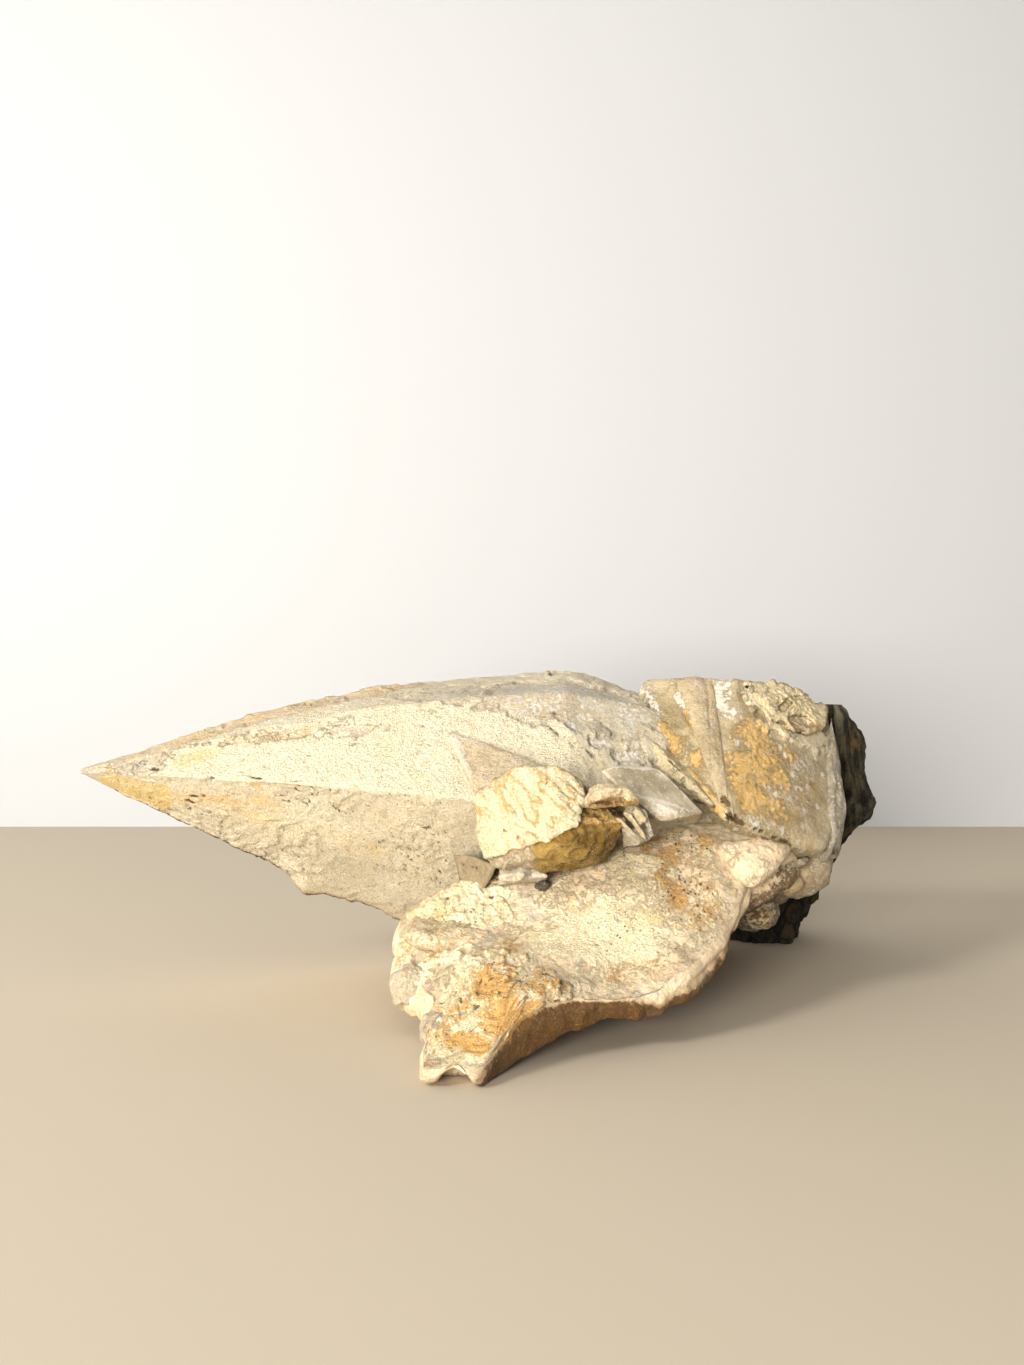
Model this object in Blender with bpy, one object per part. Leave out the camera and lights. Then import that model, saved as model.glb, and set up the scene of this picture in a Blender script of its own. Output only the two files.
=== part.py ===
"""Dogtooth calcite: a cluster of intergrown calcite crystals on a piece of its dark host rock.

The long dogtooth lies along X with its tip towards -X. A shelf of massive calcite slopes down towards -Y
and ends in a leg that stands on the surface. The host rock closes the +X end. All the calcite is one
solid, because its crystals grew into each other, and the host rock is the other.
Lengths are in millimetres until MM turns them into metres. +Z is up.
"""

import math

import bmesh
import bpy
import numpy as np
from mathutils import Vector

MM = 0.001

# Driving dimensions
TIP_X = -132.4  # point of the long dogtooth
TIP_HEIGHT = 68.0
TOP_HEIGHT = 99.7  # highest stretch of its upper edge
CONTACT_GAP = 0.3  # between the calcite and the host rock
MERGE_DISTANCE = 0.05


# Long dogtooth: six edges run from the point to the buried end. Each is given by its corners (x, y, z), and
# the edges are in the order that goes round the crystal.
DOGTOOTH_END_X = 66.0
DOGTOOTH_EDGES = {
    "front_ridge": [(TIP_X, -1.0, TIP_HEIGHT - 0.6), (-89.6, -10.6, 66.5), (-43.5, -22.0, 64.6),
                    (-15.3, -29.0, 62.3), (20.0, -28.0, 57.0), (45.0, -16.0, 54.0), (DOGTOOTH_END_X, 2.0, 52.0)],
    "upper_blunt": [(TIP_X, -0.6, TIP_HEIGHT + 0.5), (-89.6, 1.4, 78.0), (-43.5, 1.5, 86.8),
                    (-15.3, 2.0, 90.2), (20.0, 6.0, 93.0), (45.0, 16.0, 88.0), (DOGTOOTH_END_X, 24.0, 80.0)],
    "top": [(TIP_X, 0.6, TIP_HEIGHT + 0.7), (-103.0, 12.0, 78.6), (-89.6, 17.0, 83.3), (-73.0, 23.0, 87.6),
            (-43.5, 33.0, 93.8), (-15.3, 41.0, 97.2), (20.0, 50.0, TOP_HEIGHT), (32.0, 49.0, 97.2),
            (45.0, 47.0, 92.2), (DOGTOOTH_END_X, 42.0, 84.0)],
    "back_blunt": [(TIP_X, 1.2, TIP_HEIGHT), (-89.6, 21.0, 63.5), (-43.5, 39.0, 57.0),
                   (-15.3, 50.0, 53.0), (20.0, 62.0, 48.0), (45.0, 62.0, 46.0), (DOGTOOTH_END_X, 56.0, 46.0)],
    "bottom": [(TIP_X, 0.4, TIP_HEIGHT - 0.9), (-89.6, 13.8, 43.2), (-73.5, 19.6, 35.2),
               (-66.5, 22.4, 26.4), (-50.7, 27.6, 21.8), (-43.5, 30.0, 18.9), (-15.3, 38.0, 3.5),
               (-6.0, 40.0, -3.0), (20.0, 44.0, -6.0), (45.0, 44.0, -3.0), (DOGTOOTH_END_X, 40.0, 8.0)],
    "lower_blunt": [(TIP_X, -0.5, TIP_HEIGHT - 0.9), (-89.6, 0.2, 55.0), (-43.5, 2.4, 40.4),
                    (-15.3, 2.0, 32.2), (20.0, 2.0, 20.0), (45.0, 6.0, 18.0), (DOGTOOTH_END_X, 12.0, 22.0)],
}
DOGTOOTH_STATIONS = 44
DOGTOOTH_STEPS_PER_FACE = 3

# Crystals and broken plates given by their corners; each is the convex body round them.
CRYSTALS = {
    "second_dogtooth": [
        (69.2, -13.0, 53.6),
        (45.8, 30.0, 94.6), (48.4, 29.0, 97.3), (62.7, 23.0, 97.5), (77.4, 21.0, 96.9), (90.0, 28.0, 95.4),
        (103.0, 35.0, 91.6), (113.0, 40.0, 86.6), (112.6, 27.0, 70.0), (109.4, 12.0, 54.0),
        (100.0, -2.0, 44.5), (87.8, -7.6, 45.0), (43.0, 13.0, 75.8),
        (50.0, 62.0, 88.0), (98.0, 68.0, 84.0), (112.0, 62.0, 60.0), (104.0, 58.0, 34.0),
        (60.0, 66.0, 40.0), (74.0, 30.0, 26.0), (98.0, 22.0, 29.0),
    ],
    "root_mass": [
        (40.0, 16.0, 10.0), (36.0, 52.0, 7.0), (66.0, 62.0, 10.0), (88.0, 58.0, 12.0), (97.0, 36.0, 20.0),
        (94.0, 14.0, 28.0), (72.0, 0.0, 22.0), (52.0, 64.0, 32.0), (98.0, 62.0, 38.0), (60.0, 6.0, 44.0),
    ],
    "second_dogtooth_rib": [
        (68.2, -13.6, 54.4), (66.8, -12.9, 54.6), (62.8, 21.6, 97.7), (57.0, 23.6, 97.4), (69.4, 22.4, 97.4),
        (70.0, -12.2, 54.2), (64.0, 30.0, 90.0), (70.0, 6.0, 60.0),
    ],
    "crust_upper_right": [
        (79.0, 20.4, 95.6), (88.0, 16.6, 84.6), (96.0, 16.0, 79.6), (107.0, 24.0, 80.0), (112.0, 38.0, 87.6),
        (103.0, 34.4, 92.6), (90.0, 27.0, 96.2), (90.0, 34.0, 84.0), (104.0, 36.0, 80.0),
    ],
    "fibrous_edge": [
        (112.0, 32.0, 84.0), (114.0, 38.0, 84.0), (111.5, 14.0, 56.0), (115.0, 20.0, 56.0),
        (104.0, -1.0, 42.5), (109.0, 4.0, 40.0), (99.0, 1.0, 39.0), (108.0, 22.0, 40.0), (106.0, 30.0, 70.0),
    ],
    "side_ledge": [
        (43.2, 8.0, 79.0), (47.6, 4.6, 75.8), (62.0, -8.6, 60.4), (64.6, -10.6, 57.4), (43.6, 4.0, 72.8),
        (56.0, 6.0, 60.0), (50.0, 20.0, 80.0),
    ],
    "flare": [
        (-17.1, -9.5, 81.1), (5.0, -19.5, 73.6), (27.1, -27.0, 66.2), (-6.6, -33.0, 62.2), (-1.7, -38.0, 43.8),
        (6.0, 4.0, 62.0), (30.0, -4.0, 52.0), (-8.0, -6.0, 44.0), (28.0, -34.0, 46.0),
    ],
    "block": [
        (-7.4, -33.4, 63.6), (-6.9, -34.6, 54.6), (-3.2, -38.6, 44.2), (0.6, -40.0, 45.4), (9.8, -45.0, 47.4),
        (18.6, -50.0, 54.2), (26.2, -46.0, 56.2), (34.0, -42.0, 57.6), (29.6, -41.6, 62.6), (21.2, -41.2, 67.0),
        (13.6, -40.4, 71.6), (5.6, -38.6, 71.8), (0.0, -36.6, 68.8),
        (2.0, -18.0, 66.0), (30.0, -18.0, 58.0), (4.0, -18.0, 40.0), (30.0, -20.0, 42.0),
        (12.0, -41.0, 43.4), (24.4, -40.6, 46.0),
    ],
    "glassy": [
        (28.2, -27.5, 70.4), (33.6, -24.0, 71.6), (43.8, -17.0, 70.8), (46.6, -17.0, 69.8), (55.6, -20.0, 60.2),
        (58.6, -21.6, 57.0), (53.8, -27.6, 55.4), (45.0, -33.0, 54.2), (33.4, -33.4, 64.4),
        (40.0, -8.0, 50.0), (60.0, -8.0, 46.0), (30.0, -20.0, 52.0),
    ],
    "crust_lip": [
        (23.0, -41.2, 62.8), (27.4, -43.2, 66.0), (32.8, -43.6, 66.2), (37.0, -41.4, 62.2), (35.6, -39.2, 59.0),
        (29.0, -37.0, 62.0),
    ],
    "lip_shard": [
        (34.6, -41.6, 62.4), (37.4, -42.2, 60.8), (39.6, -40.4, 57.6), (37.0, -39.8, 55.4), (33.6, -39.6, 58.8),
        (36.0, -34.0, 58.0),
    ],
    "lower_shard": [
        (32.8, -41.4, 55.4), (37.8, -40.8, 50.6), (41.0, -36.6, 54.6), (43.6, -34.6, 52.4), (34.0, -34.0, 49.0),
        (36.0, -18.0, 50.0), (42.0, -18.0, 52.0),
    ],
    "corner_chip": [
        (-13.0, -19.0, 43.2), (-10.4, -24.0, 47.4), (-2.4, -33.0, 42.6), (-14.0, -21.0, 41.6), (-3.0, -28.0, 38.6),
        (-6.0, -4.0, 40.0), (-9.0, -20.0, 29.0), (-12.0, -12.0, 30.0),
    ],
    "under_block_chip": [
        (-1.0, -38.6, 43.4), (9.4, -42.6, 45.6), (13.0, -42.0, 41.0), (3.6, -41.6, 40.0), (-2.0, -34.0, 38.0),
        (10.0, -30.0, 38.0),
    ],
    "lobe": [
        (89.3, -10.0, 46.2), (80.9, -17.0, 42.7), (75.6, -22.2, 37.2), (71.6, -23.4, 35.8), (68.6, -22.6, 38.6),
        (68.1, -21.4, 42.6), (64.6, -18.0, 47.0), (76.9, -15.0, 49.2), (70.0, 0.0, 40.0), (84.0, 2.0, 42.0),
        (60.0, 0.0, 46.0), (78.0, -8.0, 36.0),
    ],
    "thin_blade": [
        (83.4, -10.0, 39.0), (92.6, -8.0, 40.2), (96.0, -2.0, 41.4), (94.0, 8.0, 40.0), (84.0, 6.0, 38.2),
        (90.0, 0.0, 37.4),
    ],
}

# Shelf: a plate seen from above by its outline, with the heights of its two faces at chosen places
SHELF_CENTRE = (16.0, -32.0)
SHELF_OUTLINE = [
    (-18.6, -87.0), (-14.5, -88.6), (-8.0, -86.6), (-2.6, -88.6), (0.5, -82.0), (4.5, -75.0),
    (10.5, -70.5), (18.0, -66.0), (26.0, -64.0), (35.7, -60.5), (46.0, -54.5), (54.5, -47.0),
    (62.5, -36.0), (69.0, -26.0), (73.5, -17.0), (83.0, -11.0), (92.0, -3.0), (92.0, 8.0),
    (66.0, 20.0), (20.0, 20.0), (-14.0, 14.0), (-28.0, 4.0), (-32.0, -8.0), (-30.6, -26.0),
    (-31.0, -44.0), (-24.0, -49.5), (-20.0, -58.0), (-18.0, -68.0), (-20.5, -77.0),
]
SHELF_TOP = [
    (-16.5, -86.5, 2.2), (-9.0, -85.5, 7.4), (-3.2, -86.5, 2.2), (-18.0, -72.0, 9.2), (0.0, -72.0, 12.5),
    (9.0, -70.0, 17.0), (17.0, -64.0, 15.0), (-22.0, -52.0, 14.5), (-6.0, -60.0, 20.0), (8.0, -62.0, 21.5),
    (24.0, -60.0, 14.8), (36.0, -56.0, 13.6), (52.0, -45.0, 18.5), (61.0, -35.0, 24.0), (70.0, -22.0, 33.0),
    (-32.0, -43.0, 13.5), (-31.0, -25.0, 20.0), (-33.0, -5.0, 27.0), (-10.0, -40.0, 26.0),
    (6.0, -44.0, 26.5), (24.0, -44.0, 26.0), (42.0, -38.0, 30.0), (54.0, -28.0, 34.5),
    (-17.0, -20.0, 35.0), (0.0, -21.0, 40.5), (19.0, -21.0, 43.0), (37.0, -20.0, 50.5),
    (54.0, -15.0, 56.0), (68.0, -11.0, 55.0), (84.0, -6.0, 47.5), (92.0, 0.0, 45.0),
    (-16.0, 10.0, 28.0), (20.0, 8.0, 44.0), (60.0, 14.0, 50.0), (90.0, 8.0, 40.0),
]
SHELF_UNDER = [
    (-16.0, -85.0, -3.0), (-9.5, -86.5, 4.2), (-4.0, -85.0, -3.0), (-14.0, -76.0, -0.6), (1.0, -76.0, 0.4),
    (-14.0, -62.0, 1.5), (2.0, -62.0, 3.0), (12.0, -64.0, 7.0), (-28.0, -44.0, 6.0), (-20.0, -50.0, 5.0),
    (24.0, -58.0, 8.8), (36.0, -54.0, 7.6), (50.0, -45.0, 10.5), (60.0, -34.0, 16.0), (68.0, -24.0, 23.0),
    (76.0, -14.0, 30.0), (90.0, -2.0, 36.0), (-28.0, -20.0, 12.0), (0.0, -34.0, 8.0), (24.0, -34.0, 9.0),
    (44.0, -30.0, 13.0), (10.0, 10.0, 8.0), (50.0, 10.0, 18.0), (84.0, 8.0, 27.0), (-26.0, 6.0, 17.0),
]
SHELF_REACH = 9.0  # bell width over which a given height is felt
SHELF_LEAST = 2.0  # least thickness at the rim
SHELF_SPOKES = 90
SHELF_RINGS = 9
RIM_FLUTES = 31  # small lobes round the broken rim
RIM_FLUTE_DEPTH = 0.010

# Rounded lumps: centre and half widths
LUMP_UNEVENNESS = 0.10
LUMPS = {
    "under_lobe": ((86.5, 4.0, 31.6), (8.0, 10.0, 5.6)),
    "under_point": ((94.0, 16.0, 36.0), (13.0, 16.0, 10.0)),
    "behind_rim": ((78.0, 6.0, 24.0), (9.0, 14.0, 7.0)),
    "crust_hump": ((-14.0, -31.0, 24.6), (15.0, 14.0, 6.4)),
    "left_nodule": ((-26.4, -44.0, 10.4), (6.4, 6.4, 6.6)),
    "leg_heel": ((-15.6, -68.0, 7.4), (5.6, 9.0, 5.6)),
    "mineral_grain": ((11.1, -30.0, 37.2), (2.4, 2.2, 2.3)),
}

# Host rock: stations down its bent middle line (x, y, z) with its half widths in x and y there
ROCK_STATIONS = [
    ((117.0, 52.0, 88.0), (3.6, 8.0)), ((119.0, 54.0, 77.0), (7.6, 18.0)), ((120.6, 56.0, 65.0), (8.6, 21.0)),
    ((122.8, 58.0, 54.0), (10.6, 23.0)), ((120.0, 59.0, 47.0), (10.4, 22.0)), ((112.0, 63.0, 37.0), (10.6, 20.0)),
    ((102.0, 68.0, 25.0), (14.4, 18.0)), ((99.0, 71.0, 12.0), (15.6, 15.0)), ((96.0, 73.0, -0.5), (14.0, 14.0)),
]
ROCK_SIDES = 18
ROCK_RINGS = 26
ROCK_LAYERS = 7  # ledges of its layering round the profile
ROCK_LEDGE = 0.07

CALCITE_COLOUR = (0.86, 0.78, 0.64, 1.0)
CALCITE_ROUGHNESS = 0.5
ROCK_COLOUR = (0.10, 0.10, 0.085, 1.0)
ROCK_ROUGHNESS = 0.8


def clear_scene():
    for old in list(bpy.data.objects):
        bpy.data.objects.remove(old, do_unlink=True)


def cut_at_surface(shape):
    """Cuts away what lies below z = 0 and closes the cut with a flat face."""
    everything = shape.verts[:] + shape.edges[:] + shape.faces[:]
    bmesh.ops.bisect_plane(shape, geom=everything, plane_co=(0, 0, 0), plane_no=(0, 0, 1), clear_inner=True)
    open_edges = [edge for edge in shape.edges if edge.is_boundary]
    if open_edges:
        bmesh.ops.holes_fill(shape, edges=open_edges)


def closed_object(name, shape):
    """An object from a bmesh in millimetres: merged, cut at z = 0, in triangles, facing out, in metres."""
    bmesh.ops.remove_doubles(shape, verts=shape.verts, dist=MERGE_DISTANCE)
    cut_at_surface(shape)
    bmesh.ops.triangulate(shape, faces=shape.faces)
    bmesh.ops.recalc_face_normals(shape, faces=shape.faces)
    bmesh.ops.scale(shape, vec=(MM, MM, MM), verts=shape.verts)
    mesh = bpy.data.meshes.new(name)
    shape.to_mesh(mesh)
    shape.free()
    made = bpy.data.objects.new(name, mesh)
    bpy.context.scene.collection.objects.link(made)
    return made


def tube(name, rings):
    """A closed tube through rings of points, an array of rings by sides by 3, with a cap at each end."""
    count, sides = rings.shape[:2]
    shape = bmesh.new()
    points = [[shape.verts.new(Vector(point)) for point in ring] for ring in rings]
    for here, there in zip(points, points[1:]):
        for k in range(sides):
            following = (k + 1) % sides
            shape.faces.new((here[k], here[following], there[following], there[k]))
    shape.faces.new(points[0])
    shape.faces.new(points[-1])
    return closed_object(name, shape)


def convex_crystal(name, corners, grow=0.0):
    """The convex body round the corners, each of them pushed out from their middle by grow."""
    corners = np.array(corners)
    outwards = corners - corners.mean(0)
    corners = corners + grow * outwards / np.linalg.norm(outwards, axis=1)[:, None]
    shape = bmesh.new()
    for corner in corners:
        shape.verts.new(Vector(corner))
    bmesh.ops.convex_hull(shape, input=shape.verts)
    loose = [vertex for vertex in shape.verts if not vertex.link_faces]
    bmesh.ops.delete(shape, geom=loose, context="VERTS")
    return closed_object(name, shape)


def edge_points(edge, stations):
    """Points of an edge at the given x stations, straight between its corners."""
    edge = np.array(edge)
    return np.stack([stations, *(np.interp(stations, edge[:, 0], edge[:, i]) for i in (1, 2))], axis=1)


def long_dogtooth(name, grow=0.0):
    """The six edges with flat strips between them."""
    stations = np.linspace(TIP_X, DOGTOOTH_END_X, DOGTOOTH_STATIONS)
    edges = [edge_points(edge, stations) for edge in DOGTOOTH_EDGES.values()]
    columns = []
    for here, there in zip(edges, edges[1:] + edges[:1]):
        for step in range(DOGTOOTH_STEPS_PER_FACE):
            share = step / DOGTOOTH_STEPS_PER_FACE
            columns.append(here * (1 - share) + there * share)
    rings = np.stack(columns, axis=1)
    outwards = rings - rings.mean(1, keepdims=True)
    rings = rings + grow * outwards / np.linalg.norm(outwards, axis=2, keepdims=True)
    return tube(name, rings)


def heights(given, x, y):
    """Heights at x, y: a mean of the given ones, each weighted by a bell curve of its distance."""
    given = np.array(given)
    apart = (x[..., None] - given[:, 0]) ** 2 + (y[..., None] - given[:, 1]) ** 2
    weight = np.exp(-apart / (2 * SHELF_REACH**2)) + 1e-9
    return (weight * given[:, 2]).sum(-1) / weight.sum(-1)


def outline_reach(angles):
    """Distance from the shelf's centre to its outline along each angle, with the rim's small lobes."""
    outline = np.array(SHELF_OUTLINE) - SHELF_CENTRE
    turn = np.arctan2(outline[:, 1], outline[:, 0])
    order = np.argsort(turn)
    reach = np.interp(angles, turn[order], np.linalg.norm(outline, axis=1)[order], period=2 * math.pi)
    return reach * (1 + RIM_FLUTE_DEPTH * np.sin(RIM_FLUTES * angles))


def shelf(name):
    """Rings from the centre out over the top face, round the rim and back in along the under face."""
    angles = np.linspace(-math.pi, math.pi, SHELF_SPOKES, endpoint=False)
    reach = outline_reach(angles)
    out = np.append(np.linspace(0.12, 0.965, SHELF_RINGS), 1.0)
    x = SHELF_CENTRE[0] + np.outer(out, reach * np.cos(angles))
    y = SHELF_CENTRE[1] + np.outer(out, reach * np.sin(angles))
    top = heights(SHELF_TOP, x, y)
    under = np.minimum(heights(SHELF_UNDER, x, y), top - SHELF_LEAST)
    middle = 0.5 * (top + under)
    top[-1] = middle[-1]
    upper = np.stack([x, y, top], axis=2)
    lower = np.stack([x, y, under], axis=2)[-2::-1]
    return tube(name, np.concatenate([upper, lower]))


def lump(name, centre, half_widths):
    shape = bmesh.new()
    bmesh.ops.create_icosphere(shape, subdivisions=2, radius=1.0)
    for vertex in shape.verts:
        x, y, z = vertex.co
        vertex.co *= 1 + LUMP_UNEVENNESS * math.sin(5 * x + 3 * z) * math.cos(4 * y - 2 * z)
    bmesh.ops.scale(shape, vec=half_widths, verts=shape.verts)
    bmesh.ops.translate(shape, vec=centre, verts=shape.verts)
    return closed_object(name, shape)


def host_rock(name):
    """A rounded profile with ledges of layering, carried down the stations to a flat base."""
    down = np.linspace(0.0, 1.0, ROCK_RINGS)[:, None]
    given = np.linspace(0.0, 1.0, len(ROCK_STATIONS))
    columns = np.array([middle + half for middle, half in ROCK_STATIONS]).T
    x, y, z, half_x, half_y = (np.interp(down, given, column) for column in columns)
    turn = np.linspace(0, 2 * math.pi, ROCK_SIDES, endpoint=False)[None]
    ledges = 1 + ROCK_LEDGE * (np.sin(ROCK_LAYERS * turn + 9 * down) + np.sin(3 * turn - 21 * down))
    rings = np.stack([x + half_x * np.cos(turn) * ledges, y + half_y * np.sin(turn) * ledges,
                      z + 0 * turn], axis=2)
    return tube(name, rings)


def boolean(target, tool, operation):
    """Joins the tool to the target, or cuts it away, and removes the tool."""
    modifier = target.modifiers.new(operation.lower(), "BOOLEAN")
    modifier.operation = operation
    modifier.object = tool
    modifier.solver = "EXACT"
    bpy.context.view_layer.update()
    graph = bpy.context.evaluated_depsgraph_get()
    mesh = bpy.data.meshes.new_from_object(target.evaluated_get(graph))
    target.modifiers.clear()
    target.data = mesh
    bpy.data.objects.remove(tool, do_unlink=True)


def give_material(thing, name, colour, roughness):
    material = bpy.data.materials.new(name)
    material.use_nodes = True
    shader = material.node_tree.nodes["Principled BSDF"]
    shader.inputs["Base Color"].default_value = colour
    shader.inputs["Roughness"].default_value = roughness
    shader.inputs["Metallic"].default_value = 0.0
    thing.data.materials.clear()
    thing.data.materials.append(material)


def calcite_crystals():
    """The long dogtooth with the shelf, every other crystal and the lumps joined to it."""
    calcite = long_dogtooth("calcite_crystals")
    joined = [shelf("shelf")]
    joined += [convex_crystal(name, corners) for name, corners in CRYSTALS.items()]
    joined += [lump(name, centre, half_widths) for name, (centre, half_widths) in LUMPS.items()]
    for piece in joined:
        boolean(calcite, piece, "UNION")
    give_material(calcite, "calcite", CALCITE_COLOUR, CALCITE_ROUGHNESS)


def fitted_host_rock():
    """The host rock, cut back to a thin gap wherever calcite would touch it."""
    rock = host_rock("host_rock")
    cutters = [long_dogtooth("dogtooth_cutter", CONTACT_GAP)]
    for name in ("second_dogtooth", "root_mass", "crust_upper_right", "fibrous_edge"):
        cutters.append(convex_crystal(name + "_cutter", CRYSTALS[name], 2 * CONTACT_GAP))
    for name in ("under_point", "behind_rim", "under_lobe"):
        centre, half_widths = LUMPS[name]
        cutters.append(lump(name + "_cutter", centre, [width + CONTACT_GAP for width in half_widths]))
    for cutter in cutters:
        boolean(rock, cutter, "DIFFERENCE")
    give_material(rock, "host_rock", ROCK_COLOUR, ROCK_ROUGHNESS)


clear_scene()
calcite_crystals()
fitted_host_rock()
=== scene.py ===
import math

import bmesh
import bpy
import numpy as np
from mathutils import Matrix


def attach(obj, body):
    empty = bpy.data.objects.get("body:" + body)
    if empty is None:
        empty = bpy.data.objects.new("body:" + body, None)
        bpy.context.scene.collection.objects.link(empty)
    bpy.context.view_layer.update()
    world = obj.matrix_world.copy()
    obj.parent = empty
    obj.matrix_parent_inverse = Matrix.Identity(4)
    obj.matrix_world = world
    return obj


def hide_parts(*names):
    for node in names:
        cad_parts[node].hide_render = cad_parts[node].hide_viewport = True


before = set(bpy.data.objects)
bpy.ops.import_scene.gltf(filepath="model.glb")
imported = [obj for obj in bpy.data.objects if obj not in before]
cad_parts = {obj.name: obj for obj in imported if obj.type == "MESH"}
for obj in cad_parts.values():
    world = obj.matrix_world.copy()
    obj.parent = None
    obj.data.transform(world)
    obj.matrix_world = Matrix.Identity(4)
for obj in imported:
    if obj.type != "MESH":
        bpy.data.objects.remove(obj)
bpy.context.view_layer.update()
mm = 0.001


# Camera, floor and light

view = {
    "place": (0.0025, -0.345, 0.094),  # metres; the eye is level, a little above the middle of the specimen
    "lens": 29.01,
    "shiftUp": 0.004,
}

stage = {
    "floorColour": (0.60, 0.53, 0.43),
    "wallColour": (0.52, 0.525, 0.535),
    "wallStart": 0.40,  # metres behind the middle, where the floor ends
    "wallTop": 1.6,
    "halfWidth": 1.8,
    "frontEdge": -0.9,
}

lamps = {
    # name: (place, size, power, colour), each aimed at the specimen; metres and watts
    "windowLight": ((-0.85, -0.62, 0.62), 0.24, 7.9, (1.0, 0.985, 0.95)),
    "frontFill": ((-0.45, -1.25, 0.20), 0.50, 30.0, (1.0, 0.97, 0.92)),
    "wallWash": ((-1.10, -0.10, 1.10), 0.80, 1.4, (1.0, 1.0, 1.0)),
}
skyStrength = 0.44
skyColour = (1.0, 0.975, 0.93)


def placeCamera():
    camera = bpy.data.objects.new("camera", bpy.data.cameras.new("camera"))
    camera.data.lens = view["lens"]
    camera.data.sensor_width = 36
    camera.data.shift_y = view["shiftUp"]
    camera.data.clip_start = 0.01
    camera.location = view["place"]
    camera.rotation_euler = (math.pi / 2, 0, 0)
    bpy.context.scene.collection.objects.link(camera)
    bpy.context.scene.camera = camera


def plainMaterial(name, colour, roughness):
    material = bpy.data.materials.new(name)
    material.use_nodes = True
    shader = material.node_tree.nodes["Principled BSDF"]
    shader.inputs["Base Color"].default_value = (*colour, 1)
    shader.inputs["Roughness"].default_value = roughness
    return material


def putStage():
    # the floor and the wall are flat sheets
    w, y, top, front = stage["halfWidth"], stage["wallStart"], stage["wallTop"], stage["frontEdge"]
    sheets = {
        "floor": ([(-w, front, 0), (w, front, 0), (w, y, 0), (-w, y, 0)], "floorColour"),
        "wall": ([(-w, y, -0.2), (w, y, -0.2), (w, y, top), (-w, y, top)], "wallColour"),
    }
    for name, (corners, colour) in sheets.items():
        mesh = bpy.data.meshes.new(name)
        mesh.from_pydata(corners, [], [(0, 1, 2, 3)])
        mesh.materials.append(plainMaterial(name, stage[colour], 0.9))
        sheet = bpy.data.objects.new(name, mesh)
        bpy.context.scene.collection.objects.link(sheet)


def putLamps():
    for name, (place, size, power, colour) in lamps.items():
        light = bpy.data.lights.new(name, "AREA")
        light.shape = "SQUARE"
        light.size = size
        light.energy = power
        light.color = colour
        lamp = bpy.data.objects.new(name, light)
        lamp.location = place
        aim = np.array((0.0, 0.0, 0.05)) - place
        lamp.rotation_euler = (math.pi / 2 + math.asin(aim[2] / np.linalg.norm(aim)), 0,
                               math.atan2(aim[1], aim[0]) - math.pi / 2)
        bpy.context.scene.collection.objects.link(lamp)
    world = bpy.data.worlds.new("sky")
    world.use_nodes = True
    background = world.node_tree.nodes["Background"]
    background.inputs["Color"].default_value = (*skyColour, 1)
    background.inputs["Strength"].default_value = skyStrength
    bpy.context.scene.world = world


placeCamera()
putStage()
putLamps()
bpy.context.scene.view_settings.view_transform = "Standard"
bpy.context.scene.view_settings.gamma = 0.82
print("camera, stage and lamps are in place")


# Noise and masks, worked out on whole arrays of points in millimetres

def smoothStep(low, high, value):
    # 0 below low, 1 above high, an S curve between
    share = np.clip((value - low) / (high - low), 0, 1)
    return share * share * (3 - 2 * share)


def latticeValue(i, j, k, seed):
    # a fixed pseudo-random number from 0 to 1 for each whole-numbered lattice point
    mixed = (i * 374761393 + j * 668265263 + k * 974634777 + seed * 1274126177) & 0xFFFFFFFF
    mixed = ((mixed ^ (mixed >> 13)) * 1274126177) & 0xFFFFFFFF
    return ((mixed ^ (mixed >> 16)) & 0xFFFF) / 65535.0


def softNoise(points, size, seed):
    # lattice values blended smoothly between the eight corners round each point, from -1 to 1
    scaled = points / size
    cell = np.floor(scaled).astype(np.int64)
    part = scaled - cell
    ease = part * part * (3 - 2 * part)
    total = 0
    for corner in range(8):
        step = (corner & 1, corner >> 1 & 1, corner >> 2)
        weight = 1
        for axis in range(3):
            weight = weight * (ease[..., axis] if step[axis] else 1 - ease[..., axis])
        i, j, k = (cell[..., axis] + step[axis] for axis in range(3))
        total = total + weight * latticeValue(i, j, k, seed)
    return 2 * total - 1


def layeredNoise(points, size, layers, seed):
    # soft noise plus finer noise at half the size and half the height, and so on
    total, height = 0, 1
    for layer in range(layers):
        total = total + height * softNoise(points, size / 2**layer, seed + 17 * layer)
        height = height / 2
    return total


def cellNoise(points, size, seed):
    # jittered dots, one in each lattice cell: the distance to the nearest, how much further the second
    # nearest is, and a random value for the nearest, with distances counted in cells
    scaled = points / size
    base = np.floor(scaled).astype(np.int64)
    near = np.full(points.shape[:-1], 9.0)
    second = near.copy()
    value = np.zeros_like(near)
    for shift in range(27):
        cell = base + np.array((shift % 3 - 1, shift // 3 % 3 - 1, shift // 9 - 1))
        i, j, k = cell[..., 0], cell[..., 1], cell[..., 2]
        gap = 0
        for axis in range(3):
            dot = cell[..., axis] + latticeValue(i, j, k, seed + 31 * axis)
            gap = gap + (scaled[..., axis] - dot) ** 2
        gap = np.sqrt(gap)
        closer = gap < near
        second = np.where(closer, near, np.minimum(second, gap))
        value = np.where(closer, latticeValue(i, j, k, seed + 101), value)
        near = np.where(closer, gap, near)
    return near, second - near, value


def stretched(points, direction, factor):
    # points with their part along the direction divided by the factor, so that noise read there runs in streaks
    along = np.array(direction) / np.linalg.norm(direction)
    return points - (1 - 1 / factor) * (points @ along)[..., None] * along


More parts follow.
